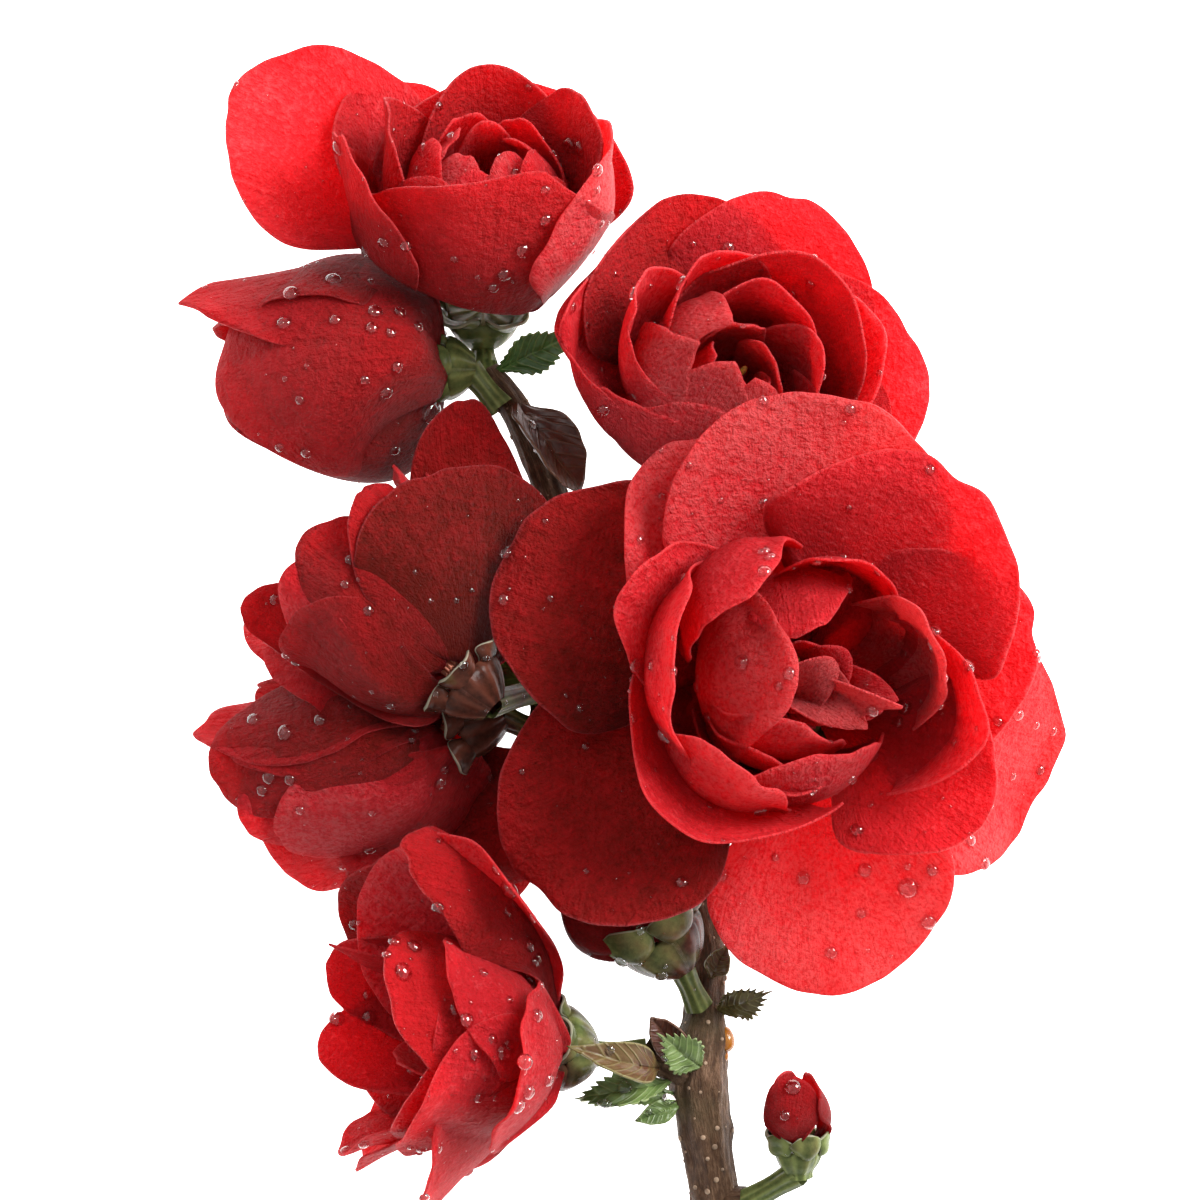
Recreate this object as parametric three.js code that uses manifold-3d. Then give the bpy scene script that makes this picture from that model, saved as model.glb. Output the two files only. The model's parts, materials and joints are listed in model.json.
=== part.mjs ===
// A cut branch of double flowering quince: six open blooms, a half-open one, two buds and the
// leaves of the lowest node, lying on its back. Millimetres, +Z up, the surface at z = 0.
// +Y runs from the cut end to the top bloom. Every position is given from the middle of the
// flower cluster, and the whole branch is then moved so that its frame is centred below it.
import * as THREE from "three";
import { mergeVertices } from "three/addons/utils/BufferGeometryUtils.js";
import Module from "manifold-3d";

const wasm = await Module();
wasm.setup();

// Driving dimensions
const MIDDLE = [3.5, -16.7]; // middle of the branch's footprint, from the middle of the cluster
const BLADE = 0.7; // thickness of a petal or a leaf
const GAP = 0.3; // clearance between two pieces that touch
const SURFACE = 0.25; // height that the lowest petals' middle surface settles at
const PRESS = 1.6; // depth over which a petal bends before it lies along a neighbour's plane
const SETTLE = 0.8; // the same over the surface that the branch lies on
const FIELD = 400; // side of the block below that surface, which trims what would reach into it

// Form of a petal or a leaf
const CLAW = 0.2; // width of a petal's foot, as a share of its width
const LEAF_CLAW = 0.3;
const SHOULDER = 0.62; // share of its length where it is at its widest
const BELLY = 0.42; // length of the handles that bend its midrib, as a share of its chord
const RUFFLES = 5; // waves round its rim
const RUFFLE = 0.018; // their height, as a share of its width
const TIP_WIDTH = 0.45; // half width of a pointed tip, as a share of the half width there
const LEAF_CELLS = 3;

// Form of a bloom's heart, cup and stamens
const FLOOR = 0.4; // depth of the heart below the petals' feet
const HEART_FOOT = 0.65; // radius of the heart's foot, as a share of the cup's
const HEART_SIDES = 10;
const SEPALS = 5;
const SEPAL = 0.8; // thickness of a sepal's rim
const STALK = 1.3; // radius of a bloom's stalk
const DISC = [[0, 0], [1.5, 0], [1.2, 0.8], [0, 0.8]]; // profile of the stamens' disc
const FILAMENT = [[0, 0.3], [0.4, 0.3], [0.4, 3], [0.6, 3.7], [0, 4.5]]; // and of one stamen
const FILAMENT_SPREAD = 0.75; // distance of the outermost stamen's foot from the middle
const FILAMENT_LEAN = 18; // its lean, in degrees
const GOLDEN_ANGLE = 137.5;

// Form of the twig
const TWIG_SIDES = 9;
const SPUR_SIDES = 7;
const RIDGE = 0.07; // height of the bark's ridges, as a share of the twig's radius

const WELD = 1e-4; // distance within which two corners are one
const TINY = 1e-3; // step that a surface's direction is taken over

const FINISH = {
  petal: { color: 0xb3141f, roughness: 0.55 },
  bark: { color: 0x4a2d1c, roughness: 0.85 },
  calyx: { color: 0x5a6130, roughness: 0.6 },
  leaf: { color: 0x5f8a45, roughness: 0.5 },
  youngLeaf: { color: 0x6b3024, roughness: 0.5 },
  stamen: { color: 0xb8a032, roughness: 0.7 },
};

// Blooms. at: foot of the bloom. faces: azimuth of its axis in the XY plane, and its elevation.
// foot: where its stalk meets the twig. calyx: radius and depth of its cup, reach of its sepals.
// heart: radius and height of the bulb that the petals stand out of.
// A layer has the radius and height that its petals start from, and the cells of their mesh.
// A petal: azimuth round the axis, reach from the axis and rise of its tip, angles of the midrib
// from the axis at foot and tip, width, cupping (half angle of its arc), twist, point of the tip,
// and how far to one side the point is, from -1 to 1, where it isn't in the middle.
const BLOOMS = {
  front: {
    at: [17.6, -8.5, 11],
    faces: [60, 86],
    foot: [11.5, -15, 4.8],
    calyx: { radius: 4.4, depth: 4.6, reach: 6.8 },
    heart: [7, 10],
    stamens: 7,
    layers: [
      { radius: 2.4, height: 0.2, cells: 3, petals: [
        [155, 29.5, 7, 68, 92, 27, 0.5, 6, 0],
        [211, 28.5, 6.5, 70, 92, 24, 0.5, 6, 0],
        [281, 28.5, -1, 74, 112, 24, 0.5, 6, 0],
        [341, 27, -13, 74, 140, 24, 0.4, 4, 0],
        [16, 22.5, 10, 65, 75, 22, 0.7, 6, 0],
        [88, 27, 14, 58, 75, 30, 0.7, 6, 0],
        [116, 25, 11, 60, 80, 24, 0.7, 6, 0],
      ] },
      { radius: 2.1, height: 1.3, cells: 2, petals: [
        [52, 23.5, 15, 62, 60, 30, 0.9, 5, 0],
        [325, 20.5, 11, 66, 70, 20, 0.7, 5, 0],
        [151, 17.5, 18, 80, 18, 18, 1, 5, 0],
        [222, 16, 16, 80, 12, 34, 1.5, 5, 0],
      ] },
      { radius: 1.8, height: 2.2, cells: 2, belly: 0.6, petals: [
        [172, 11.5, 22.5, 90, -20, 26, 1.2, 6, 0.1, -0.6],
        [128, 8.5, 23, 84, -45, 20, 1.3, 8, 0],
        [18, 12, 20.5, 80, -5, 18, 1.4, 8, 0],
        [352, 16, 16.5, 80, 8, 24, 1.5, 6, 0],
      ] },
    ],
  },
  right: {
    at: [9.3, 16.2, 10],
    faces: [56, 64],
    foot: [2.8, 8.4, 6.7],
    calyx: { radius: 4.2, depth: 4.4, reach: 6.4 },
    heart: [6.5, 9],
    stamens: 5,
    layers: [
      { radius: 2.4, height: 0.2, cells: 3, petals: [
        [62, 20, 11.5, 68, 72, 22, 0.6, 6, 0],
        [112, 18.5, 12, 68, 66, 25, 0.7, 6, 0],
        [8, 19.5, 9.5, 66, 74, 23, 0.6, 6, 0],
        [330, 17, 8, 68, 75, 22, 0.7, 6, 0],
        [226, 13, 13.5, 80, 10, 22, 1, 6, 0],
        [172, 16.5, 15, 78, 15, 24, 1, 6, 0],
        [140, 18.5, 9, 69, 78, 20, 0.7, 6, 0],
      ] },
      { radius: 2.0, height: 1.6, cells: 2, petals: [
        [20, 14, 14, 74, 20, 21, 1.1, 8, 0],
        [104, 9.5, 18, 82, -5, 17, 1.3, 8, 0],
      ] },
      { radius: 1.7, height: 2.6, cells: 2, belly: 0.55, petals: [
        [186, 5.5, 16, 92, -45, 15, 1, 8, 0.1],
      ] },
    ],
  },
  top: {
    at: [-10.9, 27.8, 7.2],
    faces: [88, 32],
    foot: [-10.8, 21.8, 6.8],
    calyx: { radius: 3.8, depth: 4, reach: 5.6 },
    heart: [6.5, 9.5],
    stamens: 5,
    layers: [
      { radius: 2.4, height: 0.2, cells: 3, petals: [
        [160, 24.5, 18, 62, 65, 26, 0.5, -20, 0],
        [128, 17, 16, 72, 35, 24, 0.9, 6, 0],
        [75, 13, 16.5, 74, 22, 30, 1, 6, 0],
        [352, 10.5, 18.5, 90, -22, 31, 1.3, 6, 0],
        [200, 14.5, 19.5, 80, 10, 17, 0.9, -8, 0.05],
        [264, 10.5, 18, 94, -14, 35, 1.4, 0, 0.1, 0.35],
      ] },
      { radius: 2.0, height: 1.6, cells: 2, petals: [
        [165, 9.5, 19, 84, -5, 19, 1.3, 8, 0],
        [85, 10, 19, 84, -5, 20, 1.3, 8, 0],
      ] },
      { radius: 1.6, height: 2.6, cells: 2, belly: 0.55, petals: [
        [190, 4, 16.5, 84, -45, 12, 1.2, 8, 0],
      ] },
    ],
  },
  left: {
    at: [-12.8, -7, 17.5],
    faces: [138, -10],
    foot: [-5.2, -8.2, 10.8],
    calyx: { radius: 3.5, depth: 3.8, reach: 4 },
    heart: [7, 14],
    stamens: 5,
    layers: [
      { radius: 2.4, height: 0.2, cells: 3, petals: [
        [98, 19.2, 17, 66, 55, 12, 0.5, -70, 0],
        [59, 19.5, 9.5, 88, 40, 25, 0.8, -40, 0],
        [320, 8.5, 14, 84, 0, 17, 1.1, 6, 0],
        [290, 9, 19, 72, 35, 11, 0.6, 70, 0],
        [250, 13, 13.5, 74, 25, 17, 0.8, 20, 0],
        [190, 14, 15.5, 72, 25, 24, 0.8, 14, 0],
        [130, 12, 17, 76, 10, 24, 1, -6, 0],
      ] },
      { radius: 2.0, height: 1.6, cells: 2, petals: [
        [110, 10, 18.5, 80, 0, 17, 1.2, 8, 0],
      ] },
    ],
  },
  low_left: {
    at: [-13.3, -11.6, 10.8],
    faces: [195, -10],
    foot: [-5.6, -12.4, 8.8],
    calyx: { radius: 3.6, depth: 4.2, reach: 4 },
    heart: [7, 14],
    stamens: 5,
    layers: [
      { radius: 2.4, height: 0.2, cells: 3, petals: [
        [256, 16, 9, 72, 75, 20, 0.6, 60, 0],
        [247, 20, 3, 76, 105, 22, 0.5, 72, 0],
        [232, 15.5, 14, 70, 50, 18, 0.7, 35, 0],
        [288, 7.5, 19.5, 80, 5, 24, 0.9, 30, 0],
        [172, 12.5, 18, 72, 20, 26, 0.9, 6, 0],
        [104, 14, 18, 72, 15, 18, 0.9, -30, 0],
      ] },
      { radius: 2.0, height: 1.6, cells: 2, petals: [
        [12, 6.5, 22, 86, -8, 17, 1.1, -5, 0],
      ] },
    ],
  },
  low: {
    at: [-4.8, -41.4, 11],
    faces: [170, 22],
    foot: [4.2, -42, 9],
    calyx: { radius: 4, depth: 4.2, reach: 5 },
    heart: [6.5, 11],
    stamens: 5,
    layers: [
      { radius: 2.4, height: 0.2, cells: 3, petals: [
        [70, 17, 18.5, 72, 5, 15, 1, -35, 0.06],
        [92, 16, 17.5, 74, 40, 27, 0.9, 38, 0],
        [118, 15, 19.5, 74, 30, 20, 0.9, 15, 0],
        [165, 14.5, 15.5, 70, 33, 26, 0.9, 6, 0],
        [236, 16, 14, 70, 50, 22, 0.8, 25, 0],
        [278, 17, 11, 68, 60, 22, 0.8, 30, 0],
        [318, 12, 16, 78, 20, 22, 1, 0, 0],
        [345, 14, 9, 84, 40, 20, 1, 0, 0],
      ] },
      { radius: 2.0, height: 1.6, cells: 2, petals: [
        [35, 10, 14.5, 84, 0, 20, 1.1, 10, 0],
        [28, 8, 20, 84, -5, 21, 1.1, 5, 0],
        [262, 12, 18, 76, 15, 20, 1, 15, 0],
      ] },
    ],
  },
  round_bud: {
    at: [-15.1, 21.4, 9.6],
    faces: [180, 4],
    foot: [-9.2, 17.8, 9.7],
    calyx: { radius: 3, depth: 2.9, reach: 3.4 },
    heart: [8, 16],
    stamens: 0,
    layers: [
      { radius: 2.0, height: 0.4, cells: 3, belly: 0.6, claw: 0.6, petals: [
        [12, 3, 20, 96, -50, 31, 1.6, 6, 0],
        [105, 3, 20, 96, -50, 27, 1.5, 6, 0],
        [195, 3, 20, 96, -50, 27, 1.5, 6, 0],
        [280, 3.5, 19.5, 96, -45, 27, 1.5, 6, 0],
        [62, 7, 21.5, 96, -12, 20, 1.3, -6, 0.12],
      ] },
    ],
  },
  half_open: {
    at: [5, -30.3, 10],
    faces: [125, 10],
    foot: [9.2, -37.8, 7],
    calyx: { radius: 4.2, depth: 4.6, reach: 6 },
    heart: [4, 8],
    stamens: 0,
    layers: [
      { radius: 2.4, height: 0.4, cells: 2, belly: 0.5, claw: 0.5, petals: [
        [0, 4.5, 10.5, 84, -30, 14, 1.3, 6, 0],
        [80, 4.5, 11.5, 84, -30, 14, 1.3, 6, 0],
        [160, 4.5, 11, 84, -30, 14, 1.3, 6, 0],
        [240, 4.5, 11, 84, -30, 14, 1.3, 6, 0],
        [300, 4.5, 11, 84, -30, 13, 1.3, 6, 0],
      ] },
    ],
  },
  small_bud: {
    at: [18.3, -50.2, 10],
    faces: [92, 8],
    foot: [13.7, -56.1, 7.2],
    calyx: { radius: 2.2, depth: 2.8, reach: 2.9 },
    heart: [2, 4.5],
    stamens: 0,
    layers: [
      { radius: 1.2, height: 0.3, cells: 2, belly: 0.5, petals: [
        [30, 1, 6.2, 84, -45, 7.4, 1.4, 6, 0],
        [150, 1, 6.2, 84, -45, 7.4, 1.4, 6, 0],
        [270, 1, 6.2, 84, -45, 7.4, 1.4, 6, 0],
      ] },
    ],
  },
};

// Planes that two neighbouring blooms lean on from both sides, so that their petals bend clear of
// each other. The first bloom is on the side that the plane's normal points to.
const WALLS = [
  { blooms: ["front", "right"], through: [15, 13, 18], normal: [0, -0.6, 0.8] },
  { blooms: ["right", "top"], through: [0, 32, 17], normal: [0.75, -0.65, 0] },
  { blooms: ["top", "round_bud"], through: [-23, 31.2, 14.8], normal: [0.3, 0.8, 0.5] },
  { blooms: ["round_bud", "left"], through: [-18.5, 13.4, 13.8], normal: [-0.5, 0.6, -0.6] },
  { blooms: ["left", "low_left"], through: [-22, -6.5, 13.5], normal: [0.3, 0.75, 0.6] },
  { blooms: ["low_left", "low"], through: [-13, -24.5, 11], normal: [0, 0.75, -0.65] },
  { blooms: ["half_open"], through: [0, -24, 14.6], normal: [0, 0, -1] },
  { blooms: ["front", "left"], through: [-7, 3, 15.2], normal: [0.5, 0, 0.85] },
  { blooms: ["half_open", "low"], through: [-3.8, -31, 12], normal: [0.8, 0.5, 0] },
  { blooms: ["half_open", "low_left"], through: [-4.5, -25, 11], normal: [1, 0, 0] },
];

// The twig and its spurs, as [x, y, z, radius]
const TWIG = [
  [12.7, -84.7, 2.1, 2.3],
  [11.4, -60.8, 5, 2.3],
  [9.8, -50, 6.5, 2.3],
  [9.2, -44.6, 6.5, 2.7],
  [9.8, -39, 5.5, 1.9],
  [9.9, -32.4, 3.2, 1.7],
  [8.4, -24.1, 3, 1.7],
  [4.7, -13, 4, 1.6],
  [0, -4.7, 6, 1.5],
  [-3.7, 7.4, 8, 1.5],
  [-7.9, 17.8, 8.4, 1.4],
  [-10.5, 21.2, 7.6, 1.3],
];
const SPURS = {
  front: [[7, -19, 3.6, 1.5], [11.5, -15, 4.6, 1.7]],
  right: [[-2.2, 2.5, 7, 1.4], [2.8, 8.4, 6.6, 1.7]],
  left: [[2, -9, 5, 1.4], [-2.4, -10.3, 7.6, 1.6], [-5.4, -10.4, 9.4, 2.3]],
  low: [[8.8, -44.3, 6.8, 1.8], [4.6, -42, 8.6, 1.7]],
  small_bud: [[10.4, -56.5, 5.6, 1.8], [13.6, -56.2, 7, 1.5]],
};

// Small leaves, scales and stipules. A leaf starts at a point in the bark and lies like a petal of
// a bloom that faces up: azimuth, reach and rise of its tip, angles of its midrib from the vertical
// at foot and tip, width, cupping, twist, point of the tip. teeth: depth of the notches in its rim.
const LEAVES = {
  top_leaf: {
    at: [-9.9, 21.2, 8],
    leaf: [24, 7.4, 2.6, 55, 80, 4.4, 0.5, 12, 0.12],
    teeth: 0.1,
    finish: "leaf",
  },
  young_leaf: {
    at: [-8, 18.8, 8.2],
    leaf: [306, 10, 2.4, 30, 110, 7, 1.3, -35, 0.1],
    finish: "youngLeaf",
  },
  dark_leaf: {
    at: [-4.6, -10, 8],
    leaf: [140, 7.2, -0.6, 80, 95, 5.4, 0.5, 0, 0.14],
    teeth: 0.12,
    finish: "leaf",
  },
  bud_scale: {
    at: [7.8, -42.6, 7.8],
    leaf: [128, 4.6, 3.4, 30, 70, 3.6, 0.9, 0, 0.06],
    finish: "youngLeaf",
  },
  toothed_leaf: {
    at: [9.4, -43.4, 8.2],
    leaf: [140, 4.6, 4.6, 20, 65, 4.4, 0.5, 0, 0.14],
    teeth: 0.16,
    finish: "leaf",
  },
  lower_leaf: {
    at: [7.2, -46, 7.6],
    leaf: [176, 5.6, 1, 70, 90, 2.6, 0.6, 0, 0.14],
    teeth: 0.1,
    finish: "leaf",
  },
  lowest_leaf: {
    at: [7.6, -46.8, 7.6],
    leaf: [200, 4, 2, 45, 85, 2.4, 0.6, 0, 0.14],
    finish: "leaf",
  },
  torn_stipule: {
    at: [10.4, -38.6, 6.2],
    leaf: [22, 5.4, 3.6, 50, 75, 4, 0.5, 20, 0.1],
    teeth: 0.2,
    finish: "leaf",
  },
  olive_leaf: {
    at: [10.2, -35.6, 5.6],
    leaf: [65, 3.4, 2.4, 45, 70, 2.6, 0.7, 0, 0.14],
    finish: "youngLeaf",
  },
  red_leaf: {
    at: [5.6, -43.4, 9],
    leaf: [162, 7.2, 8.6, 8, 80, 4, 0.8, 25, 0.16],
    finish: "youngLeaf",
  },
  curved_stipule: {
    at: [6.8, -44.6, 8.3],
    leaf: [189, 8.4, 3.4, 30, 125, 4, 0.8, 30, 0.14],
    teeth: 0.12,
    finish: "leaf",
  },
};

const radians = THREE.MathUtils.degToRad;
const vector = (values) => new THREE.Vector3(values[0], values[1], values[2]);

// Solids

function solidOf(geometry) {
  const bare = geometry.clone();
  bare.deleteAttribute("normal");
  bare.deleteAttribute("uv");
  const merged = mergeVertices(bare, WELD);
  return new wasm.Manifold(new wasm.Mesh({
    numProp: 3,
    vertProperties: new Float32Array(merged.attributes.position.array),
    triVerts: new Uint32Array(merged.index.array),
  }));
}

function geometryOf(solid) {
  const mesh = solid.getMesh();
  const geometry = new THREE.BufferGeometry();
  geometry.setAttribute("position", new THREE.BufferAttribute(mesh.vertProperties, 3));
  geometry.setIndex(new THREE.BufferAttribute(mesh.triVerts, 1));
  geometry.computeVertexNormals();
  return geometry;
}

function indexed(points, triangles) {
  const geometry = new THREE.BufferGeometry();
  const values = points.flatMap((point) => [point.x, point.y, point.z]);
  geometry.setAttribute("position", new THREE.Float32BufferAttribute(values, 3));
  geometry.setIndex(triangles);
  return geometry;
}

const joined = (solids) => solids.reduce((whole, solid) => whole.add(solid));

const largest = (solid) =>
  solid.decompose().reduce((a, b) => (a.volume() > b.volume() ? a : b));

// A thin closed blade round the surface that place(x, y, notch) gives over the unit disc, where
// notch marks every other corner of the rim. Both faces are split along the same diagonals, which
// run out to the disc's edge at its corners.
function blade(place, cells, thickness = BLADE) {
  const side = cells + 1;
  const faces = [[], []];
  for (let j = 0; j < side; j++) {
    for (let i = 0; i < side; i++) {
      const u = (2 * i) / cells - 1;
      const v = (2 * j) / cells - 1;
      const x = u * Math.sqrt(1 - (v * v) / 2);
      const y = v * Math.sqrt(1 - (u * u) / 2);
      const notch = (i % cells === 0 || j % cells === 0) && (i + j) % 2 === 1;
      const point = place(x, y, notch);
      const across = place(x + TINY, y, notch).sub(place(x - TINY, y, notch));
      const along = place(x, y + TINY, notch).sub(place(x, y - TINY, notch));
      const half = across.cross(along).setLength(thickness / 2);
      faces[0].push(point.clone().add(half));
      faces[1].push(point.clone().sub(half));
    }
  }
  const lower = side * side;
  const triangles = [];
  for (let j = 0; j < cells; j++) {
    for (let i = 0; i < cells; i++) {
      const [a, b, c, d] = [0, 1, side + 1, side].map((step) => j * side + i + step);
      const outwards = i < cells / 2 === j < cells / 2;
      const split = outwards ? [[a, b, c], [a, c, d]] : [[a, b, d], [b, c, d]];
      for (const [p, q, r] of split) {
        triangles.push(p, q, r, lower + p, lower + r, lower + q);
      }
    }
  }
  const rim = [];
  for (let i = 0; i < cells; i++) rim.push(i);
  for (let j = 0; j < cells; j++) rim.push(j * side + cells);
  for (let i = cells; i > 0; i--) rim.push(cells * side + i);
  for (let j = cells; j > 0; j--) rim.push(j * side);
  rim.forEach((p, k) => {
    const q = rim[(k + 1) % rim.length];
    triangles.push(q, p, lower + p, q, lower + p, lower + q);
  });
  return solidOf(indexed([...faces[0], ...faces[1]], triangles));
}

// A round limb along a curve through [x, y, z, radius] points, with ridges along its bark.
function limb(route, sides, stepsEach, swell = 0, ridge = 0) {
  const curve = new THREE.CatmullRomCurve3(route.map(vector), false, "centripetal");
  const steps = stepsEach * (route.length - 1);
  const frames = curve.computeFrenetFrames(steps);
  const points = [];
  for (let i = 0; i <= steps; i++) {
    const t = i / steps;
    const k = Math.min(Math.floor(t * (route.length - 1)), route.length - 2);
    const blend = t * (route.length - 1) - k;
    const radius = THREE.MathUtils.lerp(route[k][3], route[k + 1][3], blend) + swell;
    const centre = curve.getPoint(t);
    for (let j = 0; j < sides; j++) {
      const angle = (2 * Math.PI * j) / sides;
      const bark = 1 + ridge * Math.sin(3 * angle + 1.3 * i) * Math.cos(2 * angle - 0.8 * i);
      const arm = frames.normals[i].clone().multiplyScalar(Math.cos(angle));
      arm.addScaledVector(frames.binormals[i], Math.sin(angle));
      points.push(centre.clone().addScaledVector(arm, radius * bark));
    }
  }
  points.push(curve.getPoint(0), curve.getPoint(1));
  const [start, end] = [points.length - 2, points.length - 1];
  const triangles = [];
  for (let j = 0; j < sides; j++) {
    const next = (j + 1) % sides;
    triangles.push(start, next, j);
    triangles.push(end, steps * sides + j, steps * sides + next);
    for (let i = 0; i < steps; i++) {
      const [a, b] = [i * sides + j, i * sides + next];
      triangles.push(a, b, b + sides, a, b + sides, a + sides);
    }
  }
  return solidOf(indexed(points, triangles));
}

function turned(profile, sides) {
  const outline = profile.map(([radius, height]) => new THREE.Vector2(radius, height));
  const geometry = new THREE.LatheGeometry(outline, sides);
  geometry.rotateX(Math.PI / 2);
  return geometry;
}

// Blooms

// Axes of a bloom: Z along its axis, Y as near to the branch's +Y as it can be.
function facing(azimuth, elevation) {
  const [a, e] = [radians(azimuth), radians(elevation)];
  const axis = new THREE.Vector3(Math.cos(e) * Math.cos(a), Math.cos(e) * Math.sin(a), Math.sin(e));
  const up = new THREE.Vector3(0, 1, 0).addScaledVector(axis, -axis.y).normalize();
  return new THREE.Matrix4().makeBasis(up.clone().cross(axis), up, axis);
}

// Moves a point along a plane's normal so that it stays `away` from the plane, bending gently.
function press(point, { through, normal, away, ease }) {
  const depth = normal.dot(point.clone().sub(through)) - away;
  if (depth < ease) point.addScaledVector(normal, ease * Math.exp(depth / ease - 1) - depth);
  return point;
}

// Every plane that one bloom's petals stay on one side of, the surface included
function planesOf(name) {
  const planes = [];
  for (const { blooms, through, normal } of WALLS) {
    const side = [1, -1][blooms.indexOf(name)];
    if (side) {
      const outwards = vector(normal).normalize().multiplyScalar(side);
      const away = (BLADE + GAP) / 2;
      planes.push({ through: vector(through), normal: outwards, away, ease: PRESS });
    }
  }
  planes.push({ through: vector([0, 0, 0]), normal: vector([0, 0, 1]), away: SURFACE, ease: SETTLE });
  return planes;
}

// The middle surface of one petal or leaf, over the unit disc, in its bloom's own axes
function petalSurface(row, layer) {
  const [azimuth, reach, rise, footAngle, tipAngle, width, cup, twist, point, side = 0] = row;
  const foot = new THREE.Vector2(layer.radius, layer.height);
  const tip = new THREE.Vector2(reach, rise);
  const chord = foot.distanceTo(tip);
  const handle = (layer.belly ?? BELLY) * chord;
  const leaving = new THREE.Vector2(Math.sin(radians(footAngle)), Math.cos(radians(footAngle)));
  const arriving = new THREE.Vector2(Math.sin(radians(tipAngle)), Math.cos(radians(tipAngle)));
  const midrib = new THREE.CubicBezierCurve(
    foot,
    foot.clone().addScaledVector(leaving, handle),
    tip.clone().addScaledVector(arriving, -handle),
    tip,
  );
  const half = width / 2;
  const bend = cup / half;
  const claw = layer.claw ?? CLAW;
  const [turn, lean] = [radians(azimuth), radians(twist)];
  const out = new THREE.Vector3(Math.cos(turn), Math.sin(turn), 0);
  const aside = new THREE.Vector3(-Math.sin(turn), Math.cos(turn), 0);
  const axis = new THREE.Vector3(0, 0, 1);
  return (x, y) => {
    const peak = point * Math.max(0, 1 - Math.abs(x - side) / TIP_WIDTH) ** 1.5;
    const flat = (1 + y) / 2;
    const s = flat + peak * flat ** 5;
    const along = Math.min(Math.max(s, 0), 1);
    const shoulder = THREE.MathUtils.smoothstep(s, 0, SHOULDER);
    const t = x * half * (claw + (1 - claw) * shoulder);
    const rho = Math.hypot(x, y);
    const wave = Math.sin(RUFFLES * Math.atan2(y, x) + 0.37 * azimuth + reach);
    const inward = (1 - Math.cos(bend * t)) / bend + RUFFLE * width * rho ** 4 * wave;
    const across = Math.sin(bend * t) / bend;
    const middle = midrib.getPoint(along);
    const direction = midrib.getTangent(along);
    middle.addScaledVector(direction, (s - along) * chord);
    const lateral = across * Math.cos(lean) - inward * Math.sin(lean);
    const raised = across * Math.sin(lean) + inward * Math.cos(lean);
    return new THREE.Vector3()
      .addScaledVector(out, middle.x - raised * direction.y)
      .addScaledVector(axis, middle.y + raised * direction.x)
      .addScaledVector(aside, lateral);
  };
}

// The heart that all of a bloom's petals grow from: a flat foot, a flare up to its waist, then a
// dome
function heart(foot, radius, height) {
  const waist = 0.4 * height;
  const profile = [[0, -FLOOR], [foot, -FLOOR], [0.8 * radius, 0.35 * waist], [radius, waist]];
  for (const angle of [30, 60]) {
    const [across, up] = [Math.cos(radians(angle)), Math.sin(radians(angle))];
    profile.push([radius * across, waist + (height - waist) * up]);
  }
  profile.push([0, height]);
  return turned(profile, HEART_SIDES);
}

const ground = solidOf(
  new THREE.BoxGeometry(FIELD, FIELD, FIELD).translate(0, 0, -FIELD / 2),
);

function petals(name, bloom) {
  const frame = facing(...bloom.faces).setPosition(vector(bloom.at));
  const planes = planesOf(name);
  const settled = (surface) => (x, y) => {
    const point = surface(x, y).applyMatrix4(frame);
    for (const plane of planes) press(point, plane);
    return point;
  };
  const blades = bloom.layers.flatMap((layer) =>
    layer.petals.map((row) => blade(settled(petalSurface(row, layer)), layer.cells)));
  const foot = HEART_FOOT * bloom.calyx.radius;
  const core = heart(foot, ...bloom.heart).applyMatrix4(frame);
  const corners = core.getAttribute("position");
  for (let i = 0; i < corners.count; i++) {
    const corner = new THREE.Vector3().fromBufferAttribute(corners, i);
    for (const plane of planes) press(corner, plane);
    corners.setXYZ(i, corner.x, corner.y, corner.z);
  }
  return largest(joined([solidOf(core), ...blades]).subtract(ground));
}

// Cup with five sepals drawn out of its rim, and its stalk, cut to stand on the twig
function calyx(bloom, bark) {
  const { radius, depth, reach } = bloom.calyx;
  const frame = facing(...bloom.faces).setPosition(vector(bloom.at));
  const top = -FLOOR - GAP;
  const profile = [
    [0, top - depth],
    [STALK, top - depth],
    [0.6 * radius, top - 0.72 * depth],
    [0.95 * radius, top - 0.42 * depth],
    [reach, top - SEPAL],
    [reach, top],
    [0, top],
  ];
  const cup = turned(profile, 2 * SEPALS);
  const corners = cup.getAttribute("position");
  for (let i = 0; i < corners.count; i++) {
    const [x, y] = [corners.getX(i), corners.getY(i)];
    const side = Math.floor(i / profile.length);
    const rim = Math.hypot(x, y) > radius;
    if (rim && side % 2 === 1) corners.setXY(i, (x * radius) / reach, (y * radius) / reach);
  }
  const neck = new THREE.Vector3(0, 0, top - 0.8 * depth).applyMatrix4(frame);
  const stalk = [neck, vector(bloom.foot)].map((point) => [...point.toArray(), STALK]);
  const whole = joined([solidOf(cup.applyMatrix4(frame)), limb(stalk, SPUR_SIDES, 1)]);
  return largest(whole.subtract(bark).subtract(ground));
}

// Filaments on a small disc above the bloom's heart, spread by the golden angle
function stamens(bloom) {
  const disc = turned(DISC, 6);
  const filaments = Array.from({ length: bloom.stamens }, (_, k) => {
    const share = Math.sqrt((k + 0.5) / bloom.stamens);
    const filament = turned(FILAMENT, 3);
    filament.rotateX(radians(FILAMENT_LEAN * share)).translate(0, -FILAMENT_SPREAD * share, 0);
    return solidOf(filament.rotateZ(radians(GOLDEN_ANGLE * k)));
  });
  const frame = facing(...bloom.faces).setPosition(vector(bloom.at));
  const seat = new THREE.Matrix4().makeTranslation(0, 0, bloom.heart[1] + GAP);
  return joined([solidOf(disc), ...filaments]).transform(frame.multiply(seat).toArray());
}

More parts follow.
